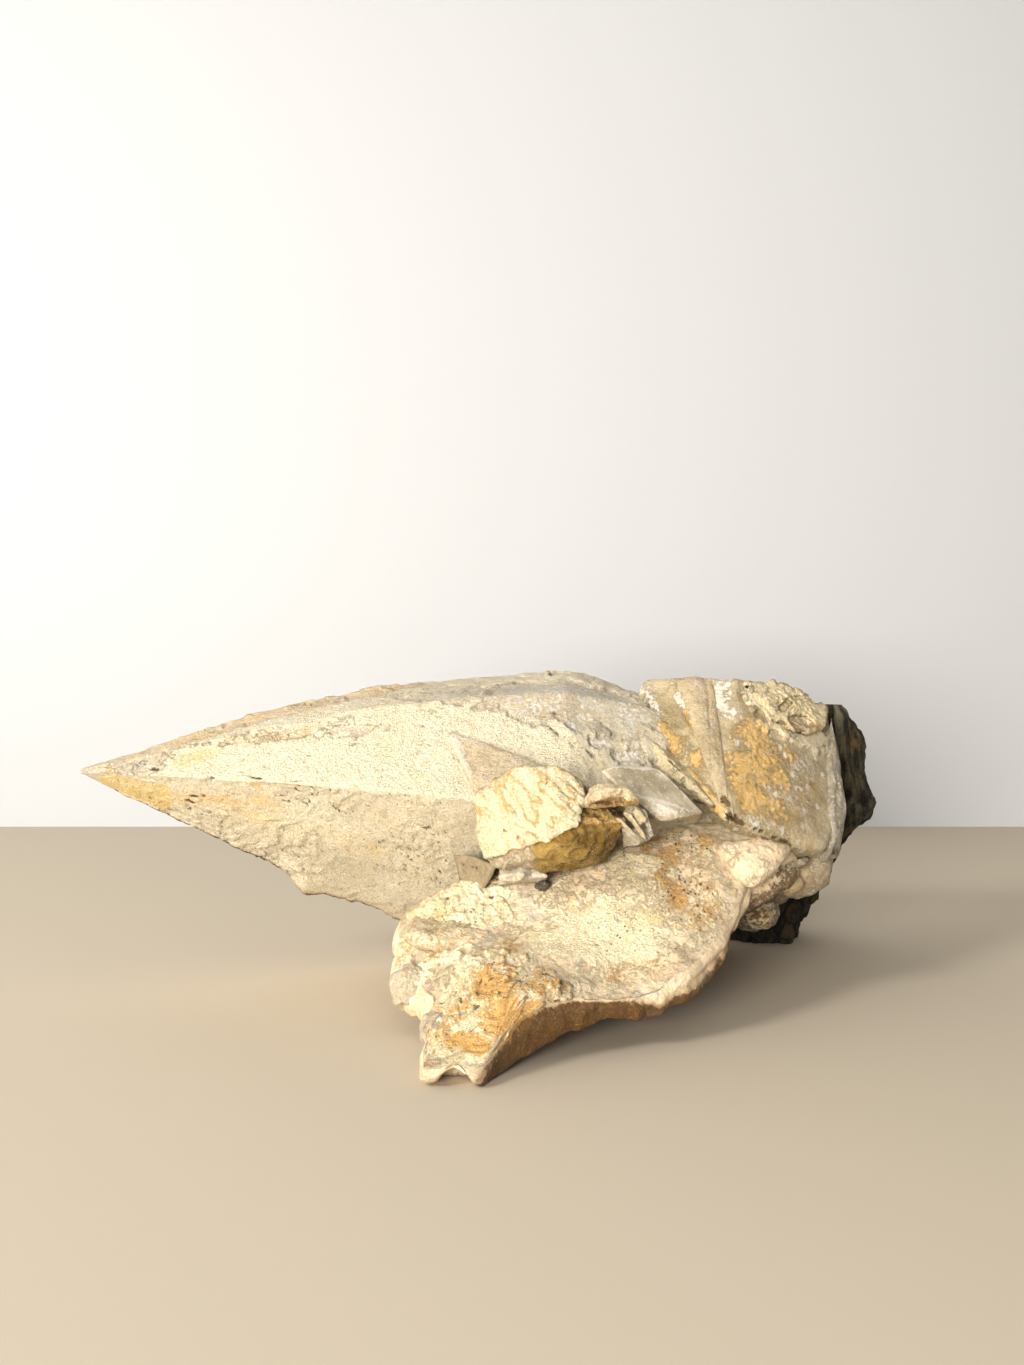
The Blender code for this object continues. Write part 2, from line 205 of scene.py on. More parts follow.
def nearStrokes(points, strokes, ragged=0.0, seed=5):
    # how near points are to strokes: each is (start, end, radius, strength), full on its line and fading
    # to nothing at its radius; ragged noise wanders the edge
    found = np.zeros(points.shape[:-1])
    for start, end, radius, strength in strokes:
        start, end = np.array(start, float), np.array(end, float)
        run = end - start
        share = np.clip(((points - start) @ run) / max(run @ run, 1e-9), 0, 1)
        apart = np.linalg.norm(points - start - share[..., None] * run, axis=-1) / radius
        found = np.maximum(found, strength * np.clip(1.6 - 1.6 * apart, 0, 1))
    if ragged:
        found = found * np.clip(1 + ragged * layeredNoise(points, 5, 3, seed), 0, 2)
    return found


# Skins: arrays of rings by sides by 3

def skinNormals(rings):
    # the cross product of the steps along and round the skin, turned outwards
    along = np.gradient(rings, axis=0)
    around = np.roll(rings, -1, axis=1) - np.roll(rings, 1, axis=1)
    normals = np.cross(around, along)
    normals /= np.maximum(np.linalg.norm(normals, axis=-1, keepdims=True), 1e-9)
    outwards = ((rings - rings.mean((0, 1))) * normals).sum()
    return normals if outwards > 0 else -normals


def pushOut(rings, height):
    # each point moved along its normal by the height, and none left below the floor
    moved = rings + skinNormals(rings) * height[..., None]
    moved[..., 2] = np.maximum(moved[..., 2], 0.0)
    return moved


def edgedSkin(edges, stations, columns):
    # straight strips between crystal edges: at each x station the edges give the corners of a ring, and
    # columns says how many columns each strip between two edges has
    lines = []
    for edge in edges.values():
        edge = np.array(edge)
        y, z = (np.interp(stations, edge[:, 0], edge[:, i]) for i in (1, 2))
        lines.append(np.stack([stations, y, z], 1))
    strips = []
    for here, there, count in zip(lines, lines[1:] + lines[:1], columns):
        share = (np.arange(count) / count)[None, :, None]
        strips.append(here[:, None] * (1 - share) + there[:, None] * share)
    return np.concatenate(strips, axis=1)


def hullPlanes(corners):
    # outward normals and distances from the middle of the flat faces round the corners
    shape = bmesh.new()
    for corner in corners:
        shape.verts.new(corner)
    bmesh.ops.convex_hull(shape, input=shape.verts)
    shape.normal_update()
    middle = np.array(corners).mean(0)
    faces = [face for face in shape.faces if face.calc_area() > 1e-6]
    normals = np.array([face.normal for face in faces])
    places = np.array([face.calc_center_median() for face in faces])
    distances = ((places - middle) * normals).sum(1)
    shape.free()
    return middle, normals * np.sign(distances)[:, None], np.abs(distances)


def hullSkin(corners, pole, rings, sides, keenness, crowd):
    # radius in each direction from the middle: (sum of (n.d / distance)^keenness)^(-1/keenness) over the
    # faces, which is the convex body with edges as keen as the power; columns crowd towards the front
    middle, normals, distances = hullPlanes(corners)
    pole = np.array(pole, float) / np.linalg.norm(pole)
    front = (1, 0, 0) if abs(pole[1]) > 0.999 else (0, -1, 0)
    side = front - np.dot(front, pole) * pole
    side /= np.linalg.norm(side)
    other = np.cross(pole, side)
    down = ((np.arange(rings) + 0.5) / rings * math.pi)[:, None, None]
    turn = np.linspace(0, 2 * math.pi, sides, endpoint=False)
    turn = (turn - crowd * np.sin(turn))[None, :, None]
    directions = np.cos(down) * pole + np.sin(down) * (np.cos(turn) * side + np.sin(turn) * other)
    facing = np.maximum(directions @ normals.T / distances, 0)
    largest = facing.max(-1, keepdims=True)
    reach = 1 / (largest[..., 0] * ((facing / largest) ** keenness).sum(-1) ** (1 / keenness))
    return middle + directions * reach[..., None]


def putSkin(name, rings, masks, material, node):
    # a closed mesh: quads between rings and a fan to the middle of each end ring
    corner = rings - rings.mean((0, 1))
    along = corner[1:] - corner[:-1]
    around = np.roll(corner, -1, axis=1)[:-1] - corner[:-1]
    if (np.cross(around, along) * corner[:-1]).sum() < 0:
        rings = rings[:, ::-1]
        masks = {key: mask[:, ::-1] for key, mask in masks.items()}
    count, sides = rings.shape[:2]
    ends = np.stack([rings[0].mean(0), rings[-1].mean(0)])
    points = np.concatenate([rings.reshape(-1, 3), ends]) * mm
    here = np.arange(count * sides).reshape(count, sides)
    following = np.roll(here, -1, axis=1)
    quads = np.stack([here[:-1], following[:-1], following[1:], here[1:]], -1).reshape(-1, 4)
    first = np.stack([np.full(sides, count * sides), following[0], here[0]], -1)
    last = np.stack([np.full(sides, count * sides + 1), here[-1], following[-1]], -1)
    loops = np.concatenate([quads.ravel(), first.ravel(), last.ravel()])
    totals = np.concatenate([np.full(len(quads), 4), np.full(2 * sides, 3)])
    mesh = bpy.data.meshes.new(name)
    mesh.vertices.add(len(points))
    mesh.vertices.foreach_set("co", points.astype(np.float32).ravel())
    mesh.loops.add(len(loops))
    mesh.loops.foreach_set("vertex_index", loops.astype(np.int32))
    mesh.polygons.add(len(totals))
    starts = np.concatenate([[0], np.cumsum(totals)[:-1]])
    mesh.polygons.foreach_set("loop_start", starts.astype(np.int32))
    mesh.polygons.foreach_set("loop_total", totals.astype(np.int32))
    mesh.update(calc_edges=True)
    mesh.shade_smooth()
    for key, mask in masks.items():
        attribute = mesh.attributes.new(key, "FLOAT", "POINT")
        values = np.concatenate([mask.ravel(), [mask[0].mean(), mask[-1].mean()]])
        attribute.data.foreach_set("value", values.astype(np.float32))
    mesh.materials.append(material)
    piece = bpy.data.objects.new(name, mesh)
    bpy.context.scene.collection.objects.link(piece)
    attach(piece, "root")
    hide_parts(node)
    print(name, "has", len(totals), "faces")


# Finishes

def addNode(tree, kind, inputs=None, **settings):
    node = tree.nodes.new(kind)
    for key, value in settings.items():
        setattr(node, key, value)
    for key, value in (inputs or {}).items():
        if isinstance(value, bpy.types.NodeSocket):
            tree.links.new(value, node.inputs[key])
        else:
            node.inputs[key].default_value = value
    return node


def blendColours(tree, share, first, second):
    node = addNode(tree, "ShaderNodeMix", data_type="RGBA", clamp_factor=True)
    for socket, value in zip((node.inputs[0], node.inputs[6], node.inputs[7]), (share, first, second)):
        if isinstance(value, bpy.types.NodeSocket):
            tree.links.new(value, socket)
        else:
            socket.default_value = (*value, 1) if isinstance(value, tuple) else value
    return node.outputs[2]


def reckon(tree, operation, first, second=0.0, third=0.0):
    node = addNode(tree, "ShaderNodeMath", {0: first, 1: second, 2: third}, operation=operation)
    return node.outputs[0]


def spread(tree, value, low, high, first=0.0, last=1.0, **settings):
    # the value carried from the range low to high over to first to last, and kept within it
    return addNode(tree, "ShaderNodeMapRange", {"Value": value, "From Min": low, "From Max": high,
                                                "To Min": first, "To Max": last}, **settings).outputs[0]


def noiseAt(tree, place, scale, detail, roughness=0.5, warp=0.0):
    return addNode(tree, "ShaderNodeTexNoise", {"Vector": place, "Scale": scale, "Detail": detail,
                                                "Roughness": roughness, "Distortion": warp}).outputs["Fac"]


def dotsAt(tree, place, scale):
    # the distance to the nearest of scattered dots
    return addNode(tree, "ShaderNodeTexVoronoi", {"Vector": place, "Scale": scale}).outputs["Distance"]


def raggedMask(tree, key, noise, wander, width):
    # the mask, moved by the noise and cut with a narrow soft edge round one half
    moved = reckon(tree, "MULTIPLY_ADD", reckon(tree, "SUBTRACT", noise, 0.5), wander, readMask(tree, key))
    return spread(tree, moved, 0.5 - width, 0.5 + width, interpolation_type="SMOOTHSTEP")


def readMask(tree, key):
    return addNode(tree, "ShaderNodeAttribute", attribute_name=key).outputs["Fac"]


def newFinish(name):
    # an empty finish: the material, its nodes, its shader and the place in the object's own metres
    material = bpy.data.materials.new(name)
    material.use_nodes = True
    tree = material.node_tree
    place = addNode(tree, "ShaderNodeTexCoord").outputs["Object"]
    return material, tree, tree.nodes["Principled BSDF"], place


calciteNoise = {"grain": (1500, 5, 0.70), "fleck": (230, 9, 0.72), "sprinkle": (640, 6, 0.75)}
speckScale = 620


def calciteFinish(name, changes):
    # bare calcite under chalky crust, with milky frost, iron stain and dark specks where the masks put them;
    # noise at several sizes breaks every mask's edge into flecks
    look = {**calciteLook, **changes}
    material, tree, shader, place = newFinish(name)
    grain, fleck, sprinkle = (noiseAt(tree, place, *calciteNoise[key]) for key in ("grain", "fleck", "sprinkle"))
    blotch = noiseAt(tree, place, look["blotchScale"], 6, 0.65, 0.4)

    crust = raggedMask(tree, "crust", fleck, 3.2, 0.06)
    ochre = raggedMask(tree, "ochre", sprinkle, 3.6, 0.30)
    # this mask holds real dirt in pits and cracks, and also painted shade that pieces put on shaded faces, in
    # hollows and along edges
    dirt = raggedMask(tree, "dirt", sprinkle, 2.2, 0.15)
    dot = reckon(tree, "MULTIPLY", readMask(tree, "specks"), 0.19)
    dot = spread(tree, reckon(tree, "SUBTRACT", dot, dotsAt(tree, place, speckScale)), 0.0, 0.05)
    dirt = reckon(tree, "MAXIMUM", dirt, reckon(tree, "MULTIPLY", dot, spread(tree, sprinkle, 0.42, 0.55)))
    # milky frost shows only where there is no crust
    milk = reckon(tree, "SUBTRACT", look["frost"], reckon(tree, "MULTIPLY", crust, look["frost"]))
    milky = reckon(tree, "MULTIPLY", raggedMask(tree, "frost", sprinkle, 4.0, 0.16), milk)

    patch = spread(tree, blotch, 0.40, 0.60)
    bare = blendColours(tree, patch, look["bare"], look["bareDeep"])
    bare = blendColours(tree, spread(tree, grain, 0.55, 0.75, 0.0, 0.35), bare, look["white"])
    chalk = blendColours(tree, spread(tree, grain, 0.40, 0.58), look["crustShade"], look["crust"])
    chalk = blendColours(tree, spread(tree, blotch, 0.48, 0.66, 0.0, 0.5), chalk, look["crustWarm"])
    rust = blendColours(tree, spread(tree, sprinkle, 0.40, 0.58), look["ochre"], look["ochreDeep"])
    rust = blendColours(tree, spread(tree, grain, 0.56, 0.64, 0.0, 0.7), rust, look["crustWarm"])
    warm = reckon(tree, "MULTIPLY", readMask(tree, "warm"), spread(tree, fleck, 0.35, 0.62, 0.35, 1.0))
    colour = blendColours(tree, crust, bare, chalk)
    for share, over in (
            (milky, look["white"]),
            (reckon(tree, "MULTIPLY", readMask(tree, "grey"), 0.7), look["grey"]),
            (warm, look["warm"]),
            (reckon(tree, "MULTIPLY", ochre, 0.85), rust),
            # dark spots where the noise is low are painted shade of small hollows; pale spots where it is high are
            # painted highlights
            (spread(tree, sprinkle, 0.45, 0.36, 0.0, look["poreShade"]), look["poreShadeColour"]),
            (spread(tree, sprinkle, 0.56, 0.64, 0.0, look["flecks"]), look["white"]),
            (reckon(tree, "MULTIPLY", dirt, 0.85), look["dirt"])):
        colour = blendColours(tree, share, colour, over)
    tree.links.new(colour, shader.inputs["Base Color"])

    matt = reckon(tree, "MAXIMUM", crust, reckon(tree, "MULTIPLY", ochre, 0.8))
    matt = reckon(tree, "MAXIMUM", matt, reckon(tree, "MULTIPLY", milky, 0.5))
    dull = spread(tree, matt, 0.0, 1.0, look["bareRough"], 0.80)
    rough = reckon(tree, "ADD", dull, spread(tree, grain, 0.3, 0.7, -0.10, 0.10))
    tree.links.new(rough, shader.inputs["Roughness"])
    relief = reckon(tree, "MULTIPLY", fleck, 0.9)
    relief = reckon(tree, "MULTIPLY_ADD", grain, spread(tree, matt, 0.0, 1.0, 0.20, 0.8), relief)
    relief = reckon(tree, "MULTIPLY_ADD", crust, 0.25, relief)
    relief = reckon(tree, "MULTIPLY_ADD", dirt, -0.3, relief)
    bump = addNode(tree, "ShaderNodeBump", {"Height": relief, "Strength": look["bump"], "Distance": 0.0020})
    tree.links.new(bump.outputs[0], shader.inputs["Normal"])
    shader.inputs["Subsurface Weight"].default_value = look["glow"]
    shader.inputs["Subsurface Radius"].default_value = (1.0, 0.75, 0.5)
    shader.inputs["Subsurface Scale"].default_value = 0.003
    shader.inputs["IOR"].default_value = 1.58
    shader.inputs["Specular IOR Level"].default_value = 0.35
    if look["clear"]:
        seen = reckon(tree, "MULTIPLY", reckon(tree, "SUBTRACT", 1.0, matt), look["clear"])
        seen = reckon(tree, "MULTIPLY", seen, spread(tree, patch, 0.0, 1.0, 1.0, 0.55))
        tree.links.new(seen, shader.inputs["Transmission Weight"])
    return material


calciteLook = {
    "bare": (0.58, 0.485, 0.34),
    "bareDeep": (0.72, 0.64, 0.48),
    "bareRough": 0.30,
    "crust": (0.95, 0.90, 0.74),
    "crustShade": (0.85, 0.72, 0.50),
    "crustWarm": (0.91, 0.79, 0.54),
    "warm": (0.74, 0.58, 0.36),
    "ochre": (0.78, 0.52, 0.19),
    "ochreDeep": (0.62, 0.34, 0.09),
    "dirt": (0.17, 0.09, 0.03),
    "white": (0.93, 0.90, 0.84),
    "grey": (0.56, 0.51, 0.42),
    "poreShadeColour": (0.48, 0.33, 0.17),
    "poreShade": 0.42,  # how dark the painted shade of small hollows is, in spots where the noise is low
    "flecks": 0.42,  # how strong the painted highlights on small knobs are, in spots where the noise is high
    "blotchScale": 110,
    "frost": 0.7,
    "bump": 1.0,
    "glow": 0.0,
    "clear": 0.0,
}


def masksFor(points, **given):
    # every mask the finish reads, zero where a piece gives none
    return {key: np.clip(given.get(key, 0.0) + np.zeros(points.shape[:-1]), 0, 1.5)
            for key in ("crust", "ochre", "dirt", "specks", "warm", "frost", "grey")}


def putCalcite(name, rings, finishName, look, **masks):
    # a piece of calcite whose finish has these changes to the usual look
    putSkin(name, rings, masksFor(rings, **masks), calciteFinish(finishName, look), "calcite_crystals")


# Long dogtooth

tipX, tipZ = -132.4, 68.0

dogtooth = {
    "edges": {
        "frontRidge": [
            (tipX, -1, tipZ - 0.6), (-89.6, -10.6, 66.5), (-43.5, -22, 64.6), (-15.3, -29, 62.3), (20, -28, 57),
            (45, -16, 54), (66, 2, 52)],
        "upperBlunt": [
            (tipX, -0.6, tipZ + 0.5), (-89.6, 1.4, 78), (-43.5, 1.5, 86.8), (-15.3, 2, 90.2), (20, 6, 93),
            (45, 16, 88), (66, 24, 80)],
        "top": [
            (tipX, 0.6, tipZ + 0.7), (-103, 12, 78.6), (-89.6, 17, 83.3), (-73, 23, 87.6), (-43.5, 33, 93.8),
            (-15.3, 41, 97.2), (20, 50, 99.7), (32, 49, 97.2), (45, 47, 92.2), (66, 42, 84)],
        "backBlunt": [
            (tipX, 1.2, tipZ), (-89.6, 21, 63.5), (-43.5, 39, 57), (-15.3, 50, 53), (20, 62, 48), (45, 62, 46),
            (66, 56, 46)],
        "bottom": [
            (tipX, 0.4, tipZ - 0.9), (-89.6, 13.8, 43.2), (-73.5, 19.6, 35.2), (-66.5, 22.4, 26.4),
            (-50.7, 27.6, 21.8), (-43.5, 30, 18.9), (-15.3, 38, 3.5), (-6, 40, -3), (20, 44, -6), (45, 44, -3),
            (66, 40, 8)],
        "lowerBlunt": [
            (tipX, -0.5, tipZ - 0.9), (-89.6, 0.2, 55), (-43.5, 2.4, 40.4), (-15.3, 2, 32.2), (20, 2, 20),
            (45, 6, 18), (66, 12, 22)],
    },
    "columns": (40, 44, 30, 36, 30, 42), "rings": 380, "crustThickness": 0.55,
    # where along x the frosted right end, the plates and the crisp edge begin and are full
    "whiteEnd": (-20, 20), "plateEnd": (-112, -80), "plateStep": 5.2, "plateHeight": 0.75, "crackDepth": 0.5,
    "pitDepth": 1.2, "knobAt": -46, "crispEnd": (-66, -78), "taper": 14,
    # strokes of bare calcite that show through the crust
    "windows": [
        ((-26, 14, 92), (38, 12, 90), 18, 0.86), ((-16, 6, 90), (8, 1, 87), 9, 0.9),
        ((-131, -1, 69), (-112, -2, 71), 9, 1.15), ((-57, -4, 80), (-36, -5, 81), 3.6, 0.9),
        ((28, -4, 77), (35, -1, 77), 2.8, 1.4), ((35, -4, 72.5), (41, -1, 72.5), 2.8, 1.4),
        ((21, -3, 82.5), (24, -3, 82.5), 2.5, 1.4), ((24, -8, 73), (27, -8, 73), 1.6, 1.4),
        ((39, 11, 86), (45, 16, 84), 9, 1), ((-6, -16, 79), (2, -12, 79), 3, 0.9),
        ((-112, -2, 73), (-84, 0, 79), 6, 0.55), ((-84, -1, 79), (-50, -2, 84), 6, 0.55)],
    "topBand": [
        ((-124, 4, 73), (-100, 10, 79), 9, 1.1), ((-100, 10, 79), (-45, 27, 91), 10, 1.2),
        ((-45, 29, 93), (-28, 32, 94), 7, 0.8), ((-84, 0, 77), (-62, -2, 79), 4, 0.6)],
    "ochreStrokes": [
        ((-122, 0.5, 64), (-110, 0.5, 60), 7, 1.4), ((-109, 4, 56), (-106, -1, 63), 4.5, 1.1),
        ((-75.5, -13.5, 65), (-74, -13, 64.5), 1.4, 1.4), ((-100, 0, 60), (-70, -8, 61), 6, 0.5),
        ((-88, 0, 57), (-40, 0, 46), 9, 0.32), ((-100, -4, 72), (-92, -4, 74), 6, 0.45)],
    "greyStrokes": [
        ((-132, -1, 69.5), (-116, -1, 72), 6, 0.8), ((24, 0, 82), (34, 0, 80), 3.5, 0.9),
        ((-12, 14, 92), (32, 16, 93), 8, 0.6)],
    "pits": [
        ((-109.1, -4, 69.4), (-107.5, -4.2, 69), 1, 0.8), ((-106.8, -4, 68.6), (-106.6, -4, 67.4), 0.9, 1.2),
        ((-96.5, -2.5, 60.5), (-94.5, -2.5, 61), 1.2, 1.2), ((-99, -1, 58.6), (-97, -1, 57.4), 0.9, 1),
        ((-91, -6, 60.6), (-88.5, -6, 58.6), 0.9, 1), ((-90, -10, 66.4), (-88, -11, 66.5), 0.5, 0.9),
        ((-76, -13, 67.2), (-73, -14, 66.8), 0.7, 1), ((-64, -16, 66.6), (-60, -17, 66.4), 0.45, 0.8),
        ((-22, -12, 84.4), (-21.6, -12, 83), 1.3, 1.2), ((-12, -3, 88), (-11, -3, 88.5), 0.8, 1)],
    "cracks": [
        ((10, -2, 85), (20.6, 1, 87.5), 0.8, 0.75), ((11.9, -4, 83.5), (17, -7, 79.5), 0.8, 0.75),
        ((17, -7, 79.5), (22, -9, 76), 0.8, 0.7), ((-30.5, -21, 66), (-27, -22, 63.4), 0.6, 1.3),
        ((-27, -22, 63.4), (-31.5, -19, 60.6), 0.6, 1.3), ((24, -8, 79), (28, -6, 77.5), 0.7, 0.9)],
    "look": {
        "ochre": (0.92, 0.74, 0.36), "ochreDeep": (0.84, 0.59, 0.23), "poreShade": 0.55, "flecks": 0.6,
        "grey": (0.54, 0.49, 0.39),
    },
}


def longDogtooth():
    # crystal edges joined by strips, then crust as a raised layer over bare ground, curled plates and fine
    # diagonal cracks on the lower side and the back, and small pits
    stations = np.linspace(tipX, dogtooth["edges"]["top"][-1][0], dogtooth["rings"])
    rings = edgedSkin(dogtooth["edges"], stations, dogtooth["columns"])
    columns = np.cumsum((0,) + dogtooth["columns"])
    place = np.arange(rings.shape[1])[None, :] + np.zeros(rings.shape[:2])
    lower = smoothStep(columns[4] - 2, columns[4] + 4, place)
    nearTop = np.exp(-((place - columns[2]) / 7.0) ** 2)
    nearBottom = np.exp(-((place - columns[4]) / 1.6) ** 2)

    x = rings[..., 0]
    upperBand = nearStrokes(rings, dogtooth["topBand"], 0.7, 15)
    bare = np.maximum(nearStrokes(rings, dogtooth["windows"], 0.6, 11), 0.82 * upperBand)
    patchy = layeredNoise(rings, 9, 4, 21)
    farRight = smoothStep(*dogtooth["whiteEnd"], x) * (1 - lower)
    crust = 1.12 - bare + 0.26 * patchy - 0.40 * farRight
    crust = crust + farRight * (1.5 * smoothStep(0.40, 0.60, crust) - 0.25 - crust)
    back = smoothStep(columns[2], columns[2] + 4, place) * (1 - lower)
    crust = crust * (1 - lower) + lower * (0.98 + 0.10 * patchy)
    crust = crust - back * (0.35 + 0.55 * layeredNoise(rings, 16, 3, 95))
    rough = np.maximum(lower, 0.8 * back)
    raised = smoothStep(0.35, 0.60, crust)

    # curled plates on the lower side: a saw tooth up the face, its phase bent by noise
    bend = layeredNoise(stretched(rings, (0.85, 0.1, 0.5), 2.2), 15, 4, 41)
    phase = (0.86 * rings[..., 2] - 0.44 * x) / dogtooth["plateStep"] + 1.6 * bend
    saw = 1 - (phase - np.floor(phase))
    plates = saw * smoothStep(0.0, 0.06, 1 - saw) * smoothStep(-0.35, 0.45, layeredNoise(rings, 16, 3, 43))
    streaks = layeredNoise(stretched(rings, (0.8, 0.1, 0.6), 3.0), 2.6, 3, 31)
    cracks = np.clip(1 - np.abs(streaks) * 8, 0, 1) * rough
    cracks = cracks * smoothStep(-0.1, 0.5, layeredNoise(rings, 12, 2, 33))
    crackLines = nearStrokes(rings, dogtooth["cracks"], 0.3, 35)
    grit = layeredNoise(rings, 1.5, 3, 51)
    nearDot, _, dotValue = cellNoise(stretched(rings, (0.8, 0.1, 0.6), 1.8), 2.2, 61)
    pit = np.clip(1 - nearDot / 0.34, 0, 1) * (dotValue > 0.55)
    chosenPits = nearStrokes(rings, dogtooth["pits"], 0.3, 37)
    growth = layeredNoise(stretched(rings, (1, 0.25, 0.3), 9), 2.4, 2, 71)
    flakes = layeredNoise(rings, 4.2, 3, 73) * farRight

    height = 0.7 * layeredNoise(rings, 24, 3, 81)
    height = height + dogtooth["crustThickness"] * raised * (1 - lower) + 0.15 * grit * (0.4 + raised)
    height = height + dogtooth["plateHeight"] * plates * rough * smoothStep(*dogtooth["plateEnd"], x)
    height = height - dogtooth["crackDepth"] * cracks + 0.16 * growth * (1 - lower) + 0.4 * flakes * raised
    height = height + 0.5 * raised * farRight
    height = height - 0.45 * pit * (0.15 + 0.85 * rough) - dogtooth["pitDepth"] * chosenPits - 0.9 * crackLines
    height = height + 0.8 * nearTop * layeredNoise(rings, 7, 3, 83)
    # a knob on the top edge, and a crisper lower edge towards the point
    height = height + 1.5 * nearTop * np.exp(-((x - dogtooth["knobAt"]) / 6) ** 2)
    crisp = smoothStep(*dogtooth["crispEnd"], x)
    height = height + 0.9 * nearBottom * layeredNoise(rings, 6, 3, 85) * (1 - 0.8 * crisp)
    height = height * smoothStep(tipX - 1, tipX + dogtooth["taper"], x)
    rings = pushOut(rings, height)

    x = rings[..., 0]
    ochre = nearStrokes(rings, dogtooth["ochreStrokes"], 0.6, 13)
    warm = lower * (0.10 + 0.10 * bend) + 1.0 * upperBand + 0.9 * nearBottom + 0.25 * np.clip(patchy, 0, 1)
    warm = warm + back * (0.35 + 0.7 * layeredNoise(rings, 11, 3, 97))
    dirt = 0.85 * chosenPits + 0.40 * pit * (0.1 + rough) + 0.60 * cracks + 0.7 * crackLines
    dirt = dirt + 0.2 * nearBottom * (1 + 2 * crisp)
    # painted shade: a dark line on the step at each curled plate's edge
    dirt = dirt + 0.62 * rough * plates * smoothStep(0.92, 1.0, saw)
    # painted shade: dark outlines round the raised crust flakes at the frosted right end
    edge = np.clip(1 - np.abs(raised - 0.5) / 0.4, 0, 1) * farRight
    dirt = dirt + 0.45 * edge * smoothStep(-0.3, 0.5, layeredNoise(rings, 5, 2, 87))
    specks = 0.35 + 0.1 * lower + 0.3 * (x < -104)
    frost = 0.30 * bare + 0.25 * farRight
    grey = 1.3 * nearStrokes(rings, dogtooth["greyStrokes"], 0.7, 17) + 0.14 * rough
    putCalcite("dogtooth_long", rings, "dogtoothCalcite", dogtooth["look"], crust=crust, ochre=ochre, warm=warm,
               dirt=dirt, specks=specks, frost=frost, grey=grey)


longDogtooth()
print("long dogtooth done")


# Crystals given by their corners
#
# pole is the way the rings run, crowd how much their points crowd to the front, keenness how sharp the edges
# are. relief has (size, layers, height) of noise, streaks has (direction, stretch, size, height), and thick is
# the crust's height. base has each mask's value all over, and strokes adds (start, end, radius, strength).
# clean has strokes where the crystal's own face stays bare.

usualCrystal = {"pole": (0, 1, 0), "crowd": 0, "keenness": 90, "thick": 0.3, "base": {}, "strokes": {},
                "look": {}}

